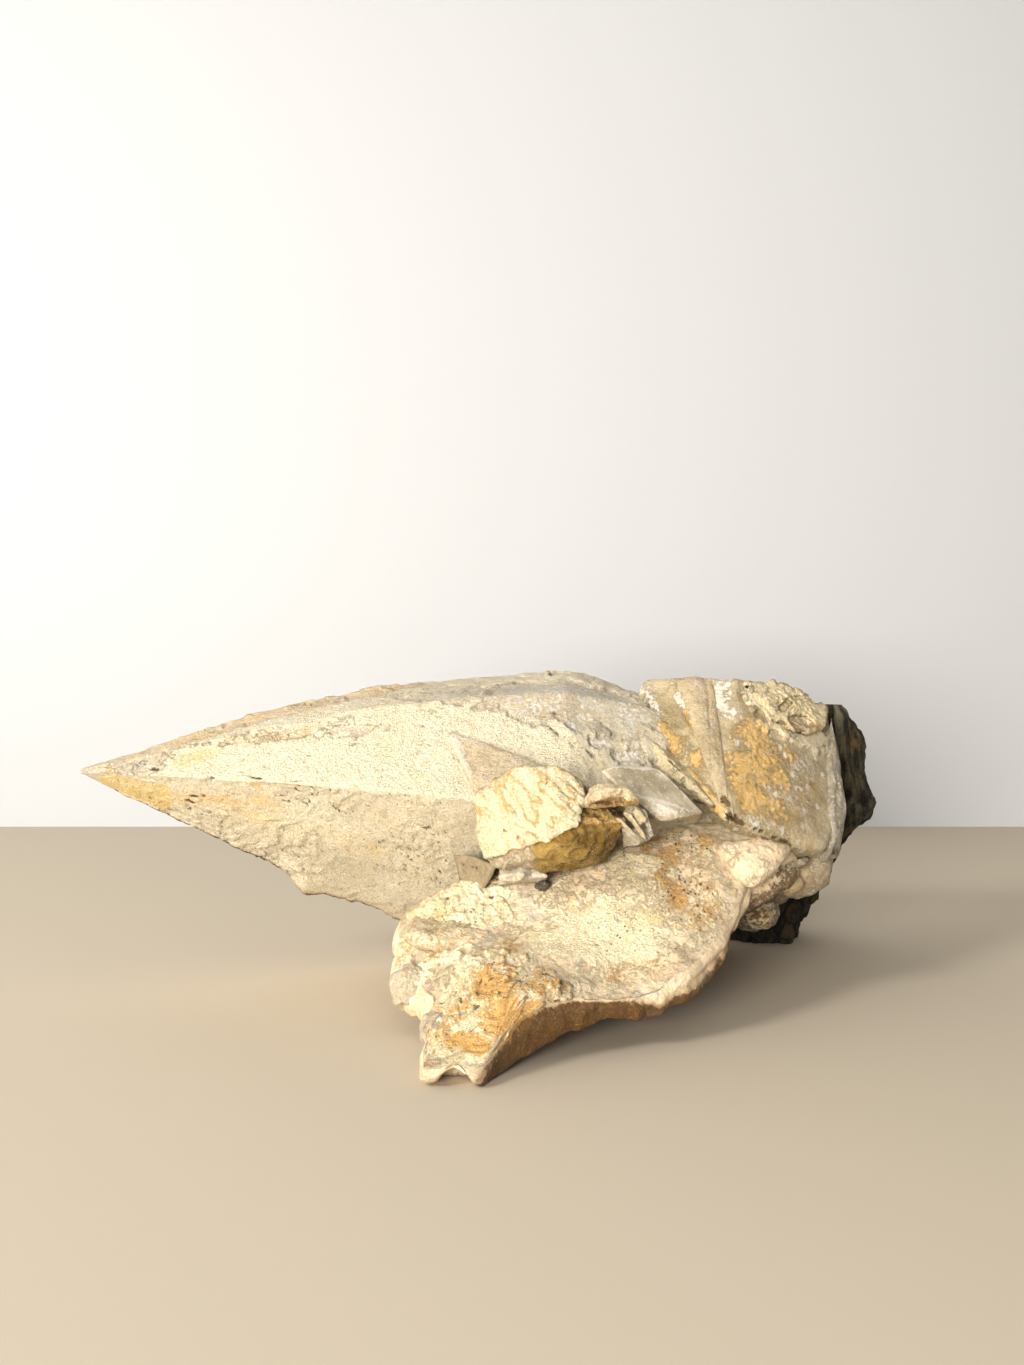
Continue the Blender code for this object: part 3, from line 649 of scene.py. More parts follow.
crystals = {
    "dogtooth_second": {
        "corners": [
            (69.2, -13, 53.6), (45.8, 30, 94.6), (48.4, 29, 97.3), (62.7, 23, 97.5), (77.4, 21, 96.9),
            (90, 28, 95.4), (103, 35, 91.6), (113, 40, 86.6), (112.6, 27, 70), (109.4, 12, 54), (100, -2, 44.5),
            (87.8, -7.6, 45), (43, 13, 75.8), (50, 62, 88), (98, 68, 84), (112, 62, 60), (104, 58, 34),
            (60, 66, 40), (74, 30, 26), (98, 22, 29)],
        "pole": (0.2, 0.3, 1),
        # the size of the cells that hold the white glints, which are painted highlights
        "glints": 3, "rings": 200, "sides": 300, "keenness": 130, "crowd": 0.5,
        "clean": [
            ((51.5, 24.5, 94), (56, 17, 86), 3.4, 1.3), ((56, 17, 86), (60.5, 7, 76), 2.6, 1.3),
            ((104, 10, 56), (94, -1, 50), 4, 0.8), ((94, 20, 84), (98, 20, 83), 3, 1.3),
            ((84, 17, 85), (85, 17, 84), 2.6, 1.3), ((88, 15, 79), (90, 15, 79), 2.6, 1.3)],
        "relief": [(17, 3, 0.7), (2.2, 2, 0.07)],
        "base": {"crust": 0, "warm": 0.05, "specks": 0.25, "frost": 0.15}, "thick": 0.9,
        "strokes": {
            "ochre": [
                ((85, 5, 68), (81, 8, 77), 12, 0.85), ((74, 2, 71), (74, -4, 62), 7, 0.85),
                ((77, -6, 60), (86, -4, 56), 8, 0.85), ((90, 11, 72), (96, 13, 76), 7, 0.7),
                ((60, 14, 83), (63, 3, 71), 5.5, 0.85), ((49, 14, 82), (54, 6, 75), 6, 0.85),
                ((57, 0, 67), (65, -9, 57), 4.5, 0.8)],
            "crust": [
                ((45, 20, 84), (50, 10, 79), 5, 0.9), ((56, 0, 69), (66, -11, 56), 4, 0.9),
                ((82, 18, 91), (92, 22, 90), 6, 0.95), ((60, 18, 88), (61, 12, 82), 3, 0.6),
                ((86, 15, 82), (96, 18, 80), 5, 0.9), ((98, 19, 80), (109, 27, 77), 6, 1.1),
                ((104, 22, 74), (110, 28, 73), 3.5, 0.9), ((88, 18, 86), (100, 22, 86), 6, 0.9)],
            "frost": [
                ((46, 27, 92), (50, 22, 89), 7, 0.6), ((71, 19, 93), (73, 13, 86), 5, 0.5),
                ((96, 12, 68), (90, -2, 54), 9, 0.4), ((84, -6, 52), (76, -9, 54), 3, 0.4),
                ((58, 20, 90), (60, 16, 88), 4, 0.7), ((70, 22, 97), (100, 33, 93), 4, 0.6)],
            "warm": [((102, 9, 62), (92, -3, 51), 10, 0.7)],
            "dirt": [
                ((54, 1, 70), (63, -9, 58), 0.8, 1.1), ((69, -12, 55), (72, -12, 53.5), 2.2, 1),
                ((72, -12, 53.6), (88, -7, 46), 0.8, 0.62), ((78, -5, 60), (86, -3, 60), 2.2, 0.4)]},
        "look": {
            "bare": (0.35, 0.275, 0.155), "bareDeep": (0.54, 0.455, 0.31), "bareRough": 0.22, "frost": 0.6,
            "ochre": (0.9, 0.66, 0.3), "ochreDeep": (0.78, 0.48, 0.14), "warm": (0.4, 0.29, 0.145),
            "crust": (0.92, 0.85, 0.63), "blotchScale": 90, "glow": 0.15},
    },
    "root_mass": {
        "corners": [
            (40, 16, 10), (36, 52, 7), (66, 62, 10), (88, 58, 12), (97, 36, 20), (94, 14, 28), (72, 0, 22),
            (52, 64, 32), (98, 62, 38), (60, 6, 44)],
        "pole": (0, 0, 1), "rings": 70, "sides": 120, "keenness": 24, "relief": [(16, 4, 2), (3, 3, 0.3)],
        "base": {"crust": 0.45, "warm": 0.6, "dirt": 0.1, "specks": 0.6, "ochre": 0.3}, "thick": 0.6,
        "look": {"bare": (0.46, 0.36, 0.24)},
    },
    "flare": {
        "corners": [
            (-17.1, -9.5, 81.1), (5, -19.5, 73.6), (27.1, -27, 66.2), (-6.6, -33, 62.2), (-1.7, -38, 43.8),
            (6, 4, 62), (30, -4, 52), (-8, -6, 44), (28, -34, 46)],
        "pole": (0.5, 1, -0.2), "rings": 120, "sides": 220, "keenness": 110, "relief": [(12, 2, 0.35)],
        "streaks": ((1, -0.9, -0.6), 7, 2, 0.13), "base": {"warm": 0.45, "specks": 0.2}, "thick": 0.4,
        "strokes": {
            "frost": [
                ((-15.5, -12, 79), (-11, -24, 69), 2.6, 1.1), ((-4, -30, 66), (4, -22, 72), 5, 0.5),
                ((-15, -11, 80), (-6, -14, 77.5), 1.6, 1)],
            "crust": [((-9, -31, 62), (-5, -36, 50), 3.5, 0.8)],
            # painted shadow: a dark line along the flare's upper edge, where it stands proud of the face above
            "dirt": [((4, -19.5, 74.6), (27, -26.5, 66.8), 0.9, 0.6)]},
        "look": {
            "bare": (0.56, 0.46, 0.31), "bareDeep": (0.7, 0.61, 0.45), "warm": (0.72, 0.57, 0.37),
            "bareRough": 0.28, "clear": 0.15, "frost": 0.5},
    },
    "block": {
        "corners": [
            (-7.4, -33.4, 63.6), (-6.9, -34.6, 54.6), (-3.2, -38.6, 44.2), (0.6, -40, 45.4), (9.8, -45, 47.4),
            (18.6, -50, 54.2), (26.2, -46, 56.2), (34, -42, 57.6), (29.6, -41.6, 62.6), (21.2, -41.2, 67),
            (13.6, -40.4, 71.6), (5.6, -38.6, 71.8), (0, -36.6, 68.8), (2, -18, 66), (30, -18, 58),
            (4, -18, 40), (30, -20, 42), (12, -41, 43.4), (24.4, -40.6, 46)],
        "pole": (0.1, 1, 0), "rings": 130, "sides": 240, "relief": [(8, 3, 0.45)], "base": {"specks": 0.15},
        "thick": 0.9, "hollowDepth": 2.2,
        # x where the torn crust breaks off
        "brokenEnd": 21.5,
        # the lower edge of the block's crust, as heights over x; the clear brown underside lies below it
        "lip": [
            (-8, 44.5), (-3.5, 46), (3.3, 49.4), (9, 51), (13.4, 53), (18.9, 56.6), (26.5, 57.6), (35, 57.4)],
        "streaks": ((0.66, -0.1, -0.7), 5, 2, 0.75),
        "strokes": {
            "dirt": [
                ((15.6, -47, 52.4), (16.2, -47, 51.6), 0.9, 1.3), ((27, -44, 47), (30, -41, 49), 1.2, 0.9)]},
        "look": {
            "bare": (0.27, 0.16, 0.02), "bareDeep": (0.5, 0.34, 0.1), "grey": (0.6, 0.49, 0.34),
            "bareRough": 0.16, "clear": 0.2, "crust": (0.93, 0.88, 0.67), "crustShade": (0.84, 0.7, 0.42),
            "ochre": (0.84, 0.62, 0.28)},
    },
    "glassy": {
        "corners": [
            (28.2, -27.5, 70.4), (33.6, -24, 71.6), (43.8, -17, 70.8), (46.6, -17, 69.8), (55.6, -20, 60.2),
            (58.6, -21.6, 57.4), (53.8, -27, 56.8), (45, -31.6, 56.2), (33.4, -32.4, 65.4), (40, -8, 56),
            (60, -8, 53), (32, -20, 58)],
        "pole": (0.3, 1, 0.2), "rings": 100, "sides": 180, "keenness": 150, "relief": [(9, 3, 0.22)],
        "thick": 0.5,
        "strokes": {
            "frost": [
                ((28, -27, 71), (46, -17, 71), 1.6, 1.3), ((46, -17, 70), (58, -21.5, 57), 1, 0.9),
                ((34, -33, 64.6), (56, -24, 58.6), 1, 1.4), ((40, -32, 60), (52, -27, 57), 4, 0.6)]},
        "look": {
            "bare": (0.58, 0.49, 0.34), "bareDeep": (0.74, 0.65, 0.5), "bareRough": 0.14, "clear": 0.35,
            "frost": 0.5, "bump": 0.25},
    },
    "second_dogtooth_rib": {
        "corners": [
            (68.2, -13.6, 54.4), (66.8, -12.9, 54.6), (62.8, 21.6, 97.7), (57, 23.6, 97.4), (69.4, 22.4, 97.4),
            (70, -12.2, 54.2), (64, 30, 90), (70, 6, 60)],
        "pole": (0.05, 0.6, 0.8), "rings": 130, "sides": 120, "keenness": 120, "relief": [(9, 2, 0.25)],
        "streaks": ((0.03, 0.62, 0.78), 14, 1.5, 0.32), "base": {"warm": 0.55, "specks": 0.2}, "thick": 0.4,
        "strokes": {
            "dirt": [((68, -13.5, 54.5), (67.5, -9, 60), 2.4, 1)],
            "frost": [((64, 20, 96), (66, 8, 80), 3, 0.5)]},
        "look": {
            "bare": (0.47, 0.38, 0.24), "bareDeep": (0.6, 0.51, 0.36), "warm": (0.58, 0.45, 0.27),
            "bareRough": 0.24, "clear": 0.15, "frost": 0.3},
    },
    "crust_upper_right": {
        "corners": [
            (79, 20.4, 95.6), (88, 16.6, 84.6), (96, 16, 79.6), (107, 24, 80), (112, 38, 87.6),
            (103, 34.4, 92.6), (90, 27, 96.2), (90, 34, 84), (104, 36, 80)],
        "pole": (0.4, 1, -0.4), "rings": 110, "sides": 180, "keenness": 100,
        "relief": [(5, 4, 0.95), (1.4, 2, 0.22)], "base": {"crust": 0.84, "specks": 0.35, "warm": 0.05},
        "thick": 0.7,
        # where the flake is broken away, so that the crystal's own face shows
        "holes": [
            ((88, 15, 79), (90, 16.5, 81), 3, 1.4), ((96, 19, 82), (101, 22, 83.6), 3.6, 1.4),
            ((84, 17, 86), (86, 18, 84), 2.6, 1.3), ((106, 36, 90), (108, 37, 89), 2, 1.3),
            ((92, 20, 87), (95, 24, 89), 1.6, 1.2), ((80, 20, 92), (82, 21, 93), 2.2, 1.2),
            ((99, 28, 91), (101, 29, 90), 1.6, 1.2)],
        "strokes": {"ochre": [((92, 18, 80), (104, 24, 80), 3.5, 0.7)]},
        "look": {
            "crust": (0.97, 0.9, 0.66), "crustShade": (0.74, 0.55, 0.28), "bare": (0.46, 0.37, 0.23),
            "flecks": 0.6},
    },
    "fibrous_edge": {
        "corners": [
            (112, 32, 84), (114, 38, 84), (111.5, 14, 56), (112.6, 20, 56), (103, -1, 42.5), (106.6, 4, 40),
            (99, 1, 39), (108, 22, 40), (106, 30, 70)],
        "pole": (0.1, 0.6, 1), "rings": 110, "sides": 110, "keenness": 60, "relief": [(7, 3, 0.5)],
        "streaks": ((0.2, 0.55, 0.8), 7, 1.3, 0.28), "base": {"specks": 0.1, "frost": 0.35, "crust": 0.1},
        "thick": 0.4, "strokes": {"dirt": [((104, 0, 42), (108, 6, 42), 3, 0.4)]},
        "look": {
            "bare": (0.31, 0.265, 0.19), "bareDeep": (0.46, 0.41, 0.32), "white": (0.74, 0.7, 0.62),
            "bareRough": 0.3, "frost": 0.7},
    },
    "side_ledge": {
        "corners": [
            (43.2, 8, 79), (47.6, 4.6, 75.8), (62, -8.6, 60.4), (64.6, -10.6, 57.4), (43.6, 4, 72.8),
            (56, 6, 60), (50, 20, 80)],
        "pole": (0.65, -0.5, -0.6), "rings": 110, "sides": 90, "relief": [(5, 3, 0.3)],
        "streaks": ((0.65, -0.5, -0.6), 6, 1.4, 0.14), "base": {"crust": 0.75, "warm": 0.2, "specks": 0.2},
        "thick": 0.4, "strokes": {"dirt": [((52, 1, 71), (63, -9, 58.6), 0.6, 0.9)]},
        "look": {"crust": (0.95, 0.86, 0.61), "crustShade": (0.84, 0.67, 0.4), "warm": (0.8, 0.62, 0.36)},
    },
    "crust_lip": {
        "corners": [
            (21, -43, 61.4), (24.6, -45.4, 64.2), (28.6, -46, 66.6), (33.4, -45.4, 66.6), (38, -42.6, 62.4),
            (33.6, -43.4, 64), (27.4, -44, 62.6), (24, -40, 66), (34, -40, 66.4), (30, -36, 67)],
        "rings": 60, "sides": 110, "keenness": 40, "relief": [(4, 3, 0.5), (1.2, 2, 0.15)],
        "base": {"crust": 0.9, "warm": 0.2, "specks": 0.2}, "thick": 0.4,
        "strokes": {
            "ochre": [((25, -45, 62.4), (36, -44, 62), 2.6, 1.3)],
            "dirt": [((26, -45, 62.2), (36, -44, 61.8), 1.7, 0.9)]},
        "look": {
            "crust": (0.94, 0.87, 0.64), "crustShade": (0.78, 0.6, 0.32), "ochre": (0.62, 0.38, 0.12),
            "ochreDeep": (0.4, 0.21, 0.05)},
    },
    "lip_shard": {
        "corners": [
            (34.6, -41.6, 62.4), (37.4, -42.2, 60.8), (39.6, -40.4, 57.6), (37, -39.8, 55.4),
            (33.6, -39.6, 58.8), (36, -34, 58)],
        "rings": 50, "sides": 80, "relief": [(4, 2, 0.2)], "base": {"crust": 0.65, "warm": 0.4},
        "look": {"crust": (0.86, 0.76, 0.52)},
    },
    "lower_shard": {
        "corners": [
            (32.8, -41.4, 55.4), (37.8, -40.8, 50.6), (41, -36.6, 54.6), (43.6, -34.6, 52.4), (34, -34, 49),
            (36, -18, 50), (42, -18, 52)],
        "rings": 50, "sides": 80, "relief": [(4, 2, 0.25)], "base": {"frost": 0.4, "warm": 0.2},
        "look": {"bareRough": 0.15, "clear": 0.4, "frost": 0.6},
    },
    "splinter_first": {
        "corners": [(30.6, -43, 58.6), (32.6, -43.6, 58), (39.4, -39, 50.8), (37.8, -38, 50.2), (33, -38, 56)],
        "pole": (0.7, 0.3, -0.7), "rings": 40, "sides": 50, "keenness": 60, "relief": [(3, 2, 0.15)],
        "base": {"frost": 0.5, "warm": 0.3}, "thick": 0.2, "look": {"bareRough": 0.15, "frost": 0.6},
    },
    "splinter_second": {
        "corners": [
            (33.4, -42.8, 60.2), (35.4, -43, 59.4), (40.6, -39.2, 51.6), (39.4, -38.4, 51), (35, -37, 57)],
        "pole": (0.7, 0.3, -0.7), "rings": 40, "sides": 50, "keenness": 60, "relief": [(3, 2, 0.15)],
        "base": {"frost": 0.3, "warm": 0.6}, "thick": 0.2, "look": {"bareRough": 0.2, "frost": 0.6},
    },
    "splinter_third": {
        "corners": [
            (37.6, -40.6, 61), (39.6, -39.8, 60.2), (42.4, -37.4, 52.4), (41.4, -37, 51.6), (39, -35, 57)],
        "pole": (0.5, 0.3, -0.8), "rings": 40, "sides": 50, "keenness": 60, "relief": [(3, 2, 0.15)],
        "base": {"frost": 0.6}, "thick": 0.2, "look": {"bareRough": 0.12, "clear": 0.3, "frost": 0.5},
    },
    "curl_shard": {
        "corners": [
            (-1.6, -43.2, 42.2), (2, -45, 43.4), (6.4, -44.6, 43.8), (5, -43.6, 41.4), (0.4, -42.8, 41),
            (3, -39, 40)],
        "rings": 40, "sides": 60, "keenness": 40, "relief": [(3, 2, 0.3)], "base": {"crust": 0.9},
    },
    "corner_chip": {
        "corners": [
            (-15, -18, 44.6), (-9.6, -24.6, 45.2), (-1.4, -33.4, 43.6), (-14, -20, 42.6), (-5, -28, 37.6),
            (-6, -4, 40), (-9, -20, 29), (-12, -12, 30)],
        "pole": (0.3, 1, 0), "rings": 60, "sides": 100, "relief": [(5, 2, 0.2)], "base": {"warm": 0.35},
        "strokes": {"dirt": [((-13, -20, 42), (-3, -33, 41.4), 0.7, 0.5)]},
        "look": {
            "bare": (0.27, 0.22, 0.14), "bareDeep": (0.36, 0.3, 0.2), "bareRough": 0.2, "flecks": 0.15,
            "warm": (0.4, 0.3, 0.17)},
    },
    "under_block_chip": {
        "corners": [
            (-1, -36, 43.4), (9.4, -40, 45.6), (13, -39, 41.4), (3.6, -38.8, 40.6), (-2, -34, 38),
            (10, -30, 38)],
        "rings": 60, "sides": 100, "relief": [(4, 3, 0.3)], "base": {"frost": 0.35},
        "look": {
            "bare": (0.7, 0.58, 0.43), "bareDeep": (0.82, 0.72, 0.58), "bareRough": 0.2, "clear": 0.25,
            "frost": 0.6},
    },
    "lobe": {
        "corners": [
            (91.3, -10.5, 46.6), (83, -18.4, 42), (77.2, -24.6, 36), (72, -26, 33.4), (66.8, -25.2, 36.6),
            (65.4, -24, 43), (62, -20, 48.2), (77.4, -17, 50.6), (70, -27.6, 41), (78, -24.6, 42),
            (72.6, -27.4, 37), (70, 0, 40), (84, 2, 42), (60, 0, 46), (78, -8, 36)],
        "pole": (0.6, -0.2, 0.3), "rings": 70, "sides": 120, "keenness": 6,
        "relief": [(9, 2, 0.5), (1.6, 2, 0.05)],
        "base": {"warm": 0.3, "specks": 0.15, "frost": 0.1, "crust": 0.35},
        "strokes": {
            "ochre": [((72, -13, 50), (88, -8, 47), 4.5, 1.1)],
            "crust": [((76, -12, 50), (88, -8, 47), 4, 0.9)],
            "frost": [((66, -19, 47), (78, -17, 44), 2.5, 0.7)],
            # painted shade: darker on the lobe's lower right
            "dirt": [((79, -16, 40.5), (90, -8, 43), 2, 0.7)]},
        "look": {
            "bare": (0.72, 0.57, 0.39), "bareDeep": (0.83, 0.7, 0.52), "warm": (0.7, 0.5, 0.28), "frost": 0.5,
            "bump": 0.8, "crust": (0.93, 0.86, 0.7), "crustShade": (0.8, 0.64, 0.4)},
    },
    "thin_blade": {
        "corners": [
            (83.4, -10, 39), (92.6, -8, 40.2), (96, -2, 41.4), (94, 8, 40), (84, 6, 38.2), (90, 0, 37.4)],
        "pole": (0, 0, 1), "rings": 50, "sides": 100, "keenness": 30, "relief": [(3, 3, 0.5)],
        "base": {"crust": 0.5, "warm": 0.4}, "look": {"bare": (0.52, 0.42, 0.28), "clear": 0.2},
    },
}


def strokeMasks(rings, data):
    # each mask is its base value plus its ragged strokes
    keys = set(data["base"]) | set(data["strokes"])
    found = {}
    for key in sorted(keys):
        strokes = nearStrokes(rings, data["strokes"].get(key, []), 0.7, 200 + len(key))
        found[key] = data["base"].get(key, 0.0) + strokes
    clean = np.clip(nearStrokes(rings, data.get("clean", []), 0.3, 217), 0, 1)
    for key in ("crust", "ochre", "frost"):
        found[key] = found.get(key, 0.0) * (1 - clean)
    found["clean"] = clean
    return found


def streakRelief(rings, data):
    # noise stretched along one direction and a little bent: -1 to 1
    direction, factor, size, _ = data["streaks"]
    bent = rings + 0.8 * layeredNoise(rings, 9, 2, 88)[..., None] * np.array((0.6, 0.5, 0.7))
    return layeredNoise(stretched(bent, direction, factor), size, 2, 93)


def reliefOf(rings, data, masks, seed):
    # layered noise for each (size, layers, height), the streaks, and the crust as a layer on top
    height = sum(h * layeredNoise(rings, size, layers, seed + 7 * layers) for size, layers, h in data["relief"])
    if "streaks" in data:
        height = height + data["streaks"][3] * streakRelief(rings, data)
    crust = smoothStep(0.3, 0.6, masks.get("crust", 0) + 0.35 * layeredNoise(rings, 2.4, 2, seed + 3))
    grit = layeredNoise(rings, 1.1, 2, seed + 5)
    ochre = smoothStep(0.2, 0.7, masks.get("ochre", 0) + 0 * crust)
    height = height + data["thick"] * crust + 0.35 * grit * np.maximum(0.6 * crust, ochre) + 0.35 * ochre
    height = height - 0.7 * np.clip(masks.get("dirt", 0) + 0 * crust, 0, 1) - 0.7 * masks["clean"]
    if "holes" in data:
        height = height - 1.3 * smoothStep(0.35, 0.6, nearStrokes(rings, data["holes"], 0.5, 77))
    return height


def dressBlock(rings, data, masks):
    # torn crust above its lip with rusty grooves along the streaks, and a hollow behind its broken right end
    x, y, z = np.moveaxis(rings, -1, 0)
    lip = np.array(data["lip"])
    edge = np.interp(x, lip[:, 0], lip[:, 1]) + 0.9 * layeredNoise(rings, 4, 3, 9)
    covered = smoothStep(-0.4, 0.5, z - edge) * smoothStep(-30, -33, y)
    brokenEnd = data["brokenEnd"] + 1.6 * layeredNoise(rings, 3.5, 3, 39) + 0.25 * (z - 62)
    hollow = smoothStep(-0.5, 0.6, x - brokenEnd) * smoothStep(-30, -36, y)
    covered = covered * (1 - hollow)
    groove = np.clip(1 - np.abs(streakRelief(rings, data)) * 2.6, 0, 1)
    below = smoothStep(0.5, -0.4, z - edge)
    leftEnd = smoothStep(9.5, 7.0, x)
    rusty = 0.10 + 0.74 * groove * smoothStep(-0.5, 0.5, layeredNoise(rings, 11, 2, 19))
    masks["crust"] = covered
    # the hollow is ochre-brown above its lowest part and darker at its top, under the broken crust: partly iron
    # stain and partly painted shade
    masks["ochre"] = covered * rusty + 0.9 * hollow * smoothStep(55.5, 57.5, z)
    torn = 0.42 * covered * smoothStep(0.8, 1.0, groove) * smoothStep(0.0, 0.6, layeredNoise(rings, 6, 2, 29))
    masks["dirt"] = masks["dirt"] + torn + 0.4 * hollow * smoothStep(57, 60, z)
    masks["grey"] = 1.2 * below * leftEnd
    masks["frost"] = 0.5 * below * leftEnd
    return pushOut(rings, -data["hollowDepth"] * hollow * smoothStep(56, 60, z))


def dress(name):
    # the crystal's skin, its masks with what only some crystals have, and its relief
    data = {**usualCrystal, **crystals[name]}
    seed = 300 + 11 * list(crystals).index(name)
    rings = hullSkin(*(data[key] for key in ("corners", "pole", "rings", "sides", "keenness", "crowd")))
    masks = strokeMasks(rings, data)
    if "lip" in data:
        rings = dressBlock(rings, data, masks)
    if "glints" in data:
        nearDot, _, value = cellNoise(stretched(rings, (0.3, 0.2, 1.0), 1.6), data["glints"], 71)
        glint = smoothStep(0.34, 0.22, nearDot) * (value > 0.45) * (rings[..., 0] > 70)
        # the glints are painted highlights: white dots put into the frost mask
        masks["frost"] = masks["frost"] + 1.5 * glint
        masks["grey"] = 0.35 * smoothStep(92, 98, rings[..., 0]) * (1 - glint)
    if "holes" in data:
        window = nearStrokes(rings, data["holes"], 0.5, 77)
        masks["crust"] = masks["crust"] * (1 - smoothStep(0.35, 0.55, window))
        # painted shade: a dark rim round each hole where the crust flake breaks off
        masks["dirt"] = masks.get("dirt", 0) + 0.5 * np.clip(1 - np.abs(window - 0.4) / 0.22, 0, 1)
        masks["warm"] = masks["warm"] + 0.4 * smoothStep(0.1, 0.4, window)
    rings = pushOut(rings, reliefOf(rings, data, masks, seed))
    putCalcite(name, rings, name + "Calcite", data["look"], **masks)


for name in crystals:
    dress(name)
print("crystals done")


# Shelf with its leg

shelf = {
    "centre": (16, -32),
    "outline": [
        (-19.6, -87.6), (-15.5, -88.2), (-11, -85.4), (-5.6, -88.4), (-1.4, -82), (4, -75), (10.5, -70.5),
        (18, -66), (26, -64), (35.7, -60.5), (46, -54.5), (54.5, -47), (62.5, -36), (69, -26), (73.5, -17),
        (83, -11), (92, -3), (92, 8), (66, 20), (20, 20), (-14, 14), (-28, 4), (-32, -8), (-30.6, -26),
        (-31, -44), (-24, -49.5), (-20, -58), (-18, -68), (-20.5, -77)],
    "top": [
        (-16.5, -86.5, 2.2), (-9, -85.5, 7.4), (-3.2, -86.5, 2.2), (-18, -72, 9.2), (0, -72, 12.5),
        (9, -70, 17), (17, -64, 15), (-22, -52, 14.5), (-6, -60, 20), (8, -62, 21.5), (24, -60, 14.8),
        (36, -56, 13.6), (52, -45, 18.5), (61, -35, 24), (70, -22, 33), (-32, -43, 13.5), (-31, -25, 20),
        (-33, -5, 27), (-10, -40, 26), (6, -44, 26.5), (24, -44, 26), (42, -38, 30), (54, -28, 34.5),
        (-17, -20, 35), (0, -21, 40.5), (19, -21, 43), (37, -20, 50.5), (54, -15, 56), (68, -11, 55),
        (84, -6, 47.5), (92, 0, 45), (-16, 10, 28), (20, 8, 44), (60, 14, 50), (90, 8, 40)],
    "under": [
        (-16, -85, -3), (-9.5, -86.5, 4.2), (-4, -85, -3), (-14, -76, -0.6), (1, -76, 0.4), (-14, -62, 1.5),
        (2, -62, 3), (12, -64, 7), (-28, -44, 6), (-20, -50, 5), (24, -58, 8.8), (36, -54, 7.6),
        (50, -45, 10.5), (60, -34, 16), (68, -24, 23), (76, -14, 30), (90, -2, 36), (-28, -20, 12), (0, -34, 8),
        (24, -34, 9), (44, -30, 13), (10, 10, 8), (50, 10, 18), (84, 8, 27), (-26, 6, 17)],
    "reach": 9, "least": 2, "flutes": 31, "fluteDepth": 0.006, "spokes": 400, "topRings": 140, "rimRings": 14,
    "underRings": 26,
    # the arch between the leg's two feet, then where along y each part of the leg begins and is full
    "archAt": -11.4, "archWidth": 3.2, "archHeight": 4.5, "archEnd": (-79, -85), "legEnd": (-50, -58),
    "legSide": (-57, -62), "footEnd": (-75, -80), "rimDraw": 0.36, "crumbSize": 1.7, "crumbHeight": 1.4,
    "ledgeSize": 12, "ledgeHeight": 0.45, "grooveDepth": 1.1, "pitDepth": 2, "stepHeight": 1.6,
    "yellow": [
        ((-9, -22, 37), (-21, -40, 27), 13, 1.2), ((-22, -20, 30), (-28, -38, 18), 10, 1),
        ((-4, -34, 30), (-14, -44, 25), 8, 1), ((-28, -41, 16), (-22, -46, 15), 5, 1.2)],
    "leg": [((-3, -60, 18), (-8, -73, 10), 14, 1.25), ((10, -64, 19), (0, -72, 13), 10, 1.3)],
    "orange": [
        ((-2, -60, 18), (0, -70, 14), 7, 0.7), ((-10, -78, 8), (-5, -80, 7), 4, 1),
        ((8, -66, 16), (-1, -76, 9), 5, 0.7), ((50, -20, 42), (54, -31, 32), 14, 0.55),
        ((2, -46, 25), (3, -50, 23), 4, 0.6), ((60, -15, 48), (44, -18, 46), 8, 0.5),
        ((30, -52, 18), (52, -44, 18), 5, 0.4)],
    "cream": [
        ((22, -40, 27), (34, -40, 28), 17, 1), ((12, -46, 25), (38, -46, 25), 9, 1),
        ((50, -17, 42), (62, -14, 47), 7, 0.6)],
    "grey": [
        ((-8, -42, 25.5), (-4, -42.5, 25.5), 4.2, 1.3), ((6, -28, 34), (9, -36, 30), 4, 0.8),
        ((-24, -36, 20), (-24, -40, 18), 2.4, 0.8)],
    "darkSpecks": [
        ((50, -19, 42), (54, -31, 31), 12, 1.3), ((58, -14, 48), (36, -19, 46), 9, 1.2),
        ((28, -42, 26), (46, -44, 22), 9, 0.6), ((-16, -30, 30), (-8, -38, 28), 7, 0.7)],
    "pits": [
        ((-3.3, -28.3, 32.6), (-2.6, -28.3, 32.6), 2.3, 1.3),
        ((31, -49.5, 21.5), (31.4, -49.6, 21.4), 0.8, 1.2), ((25, -50.5, 20.6), (25.2, -50.5, 20.6), 0.7, 1.2),
        ((-17, -22, 32), (-14, -24, 33), 1.5, 1)],
    "step": [((10.9, -65.3, 18), (2, -69.2, 15.6), 5.2, 1.3)],
    "look": {
        "bare": (0.76, 0.6, 0.4), "bareDeep": (0.87, 0.73, 0.52), "white": (0.94, 0.88, 0.77),
        "bareRough": 0.42, "crust": (0.96, 0.9, 0.73), "crustShade": (0.83, 0.68, 0.4),
        # warm is the dark brown of the painted shade on the rim's low side and the leg's right face; the top's
        # mottling takes a little of it too
        "crustWarm": (0.84, 0.66, 0.32), "ochre": (0.74, 0.44, 0.12), "warm": (0.25, 0.125, 0.028),
        "frost": 0.6, "poreShade": 0.28, "flecks": 0.4, "bump": 0.85, "blotchScale": 70,
    },
}


def shelfHeights(given, x, y):
    # a mean of the given heights, each weighted by a bell curve of its distance
    given = np.array(given)
    apart = (x[..., None] - given[:, 0]) ** 2 + (y[..., None] - given[:, 1]) ** 2
    weight = np.exp(-apart / (2 * shelf["reach"] ** 2)) + 1e-9
    return (weight * given[:, 2]).sum(-1) / weight.sum(-1)


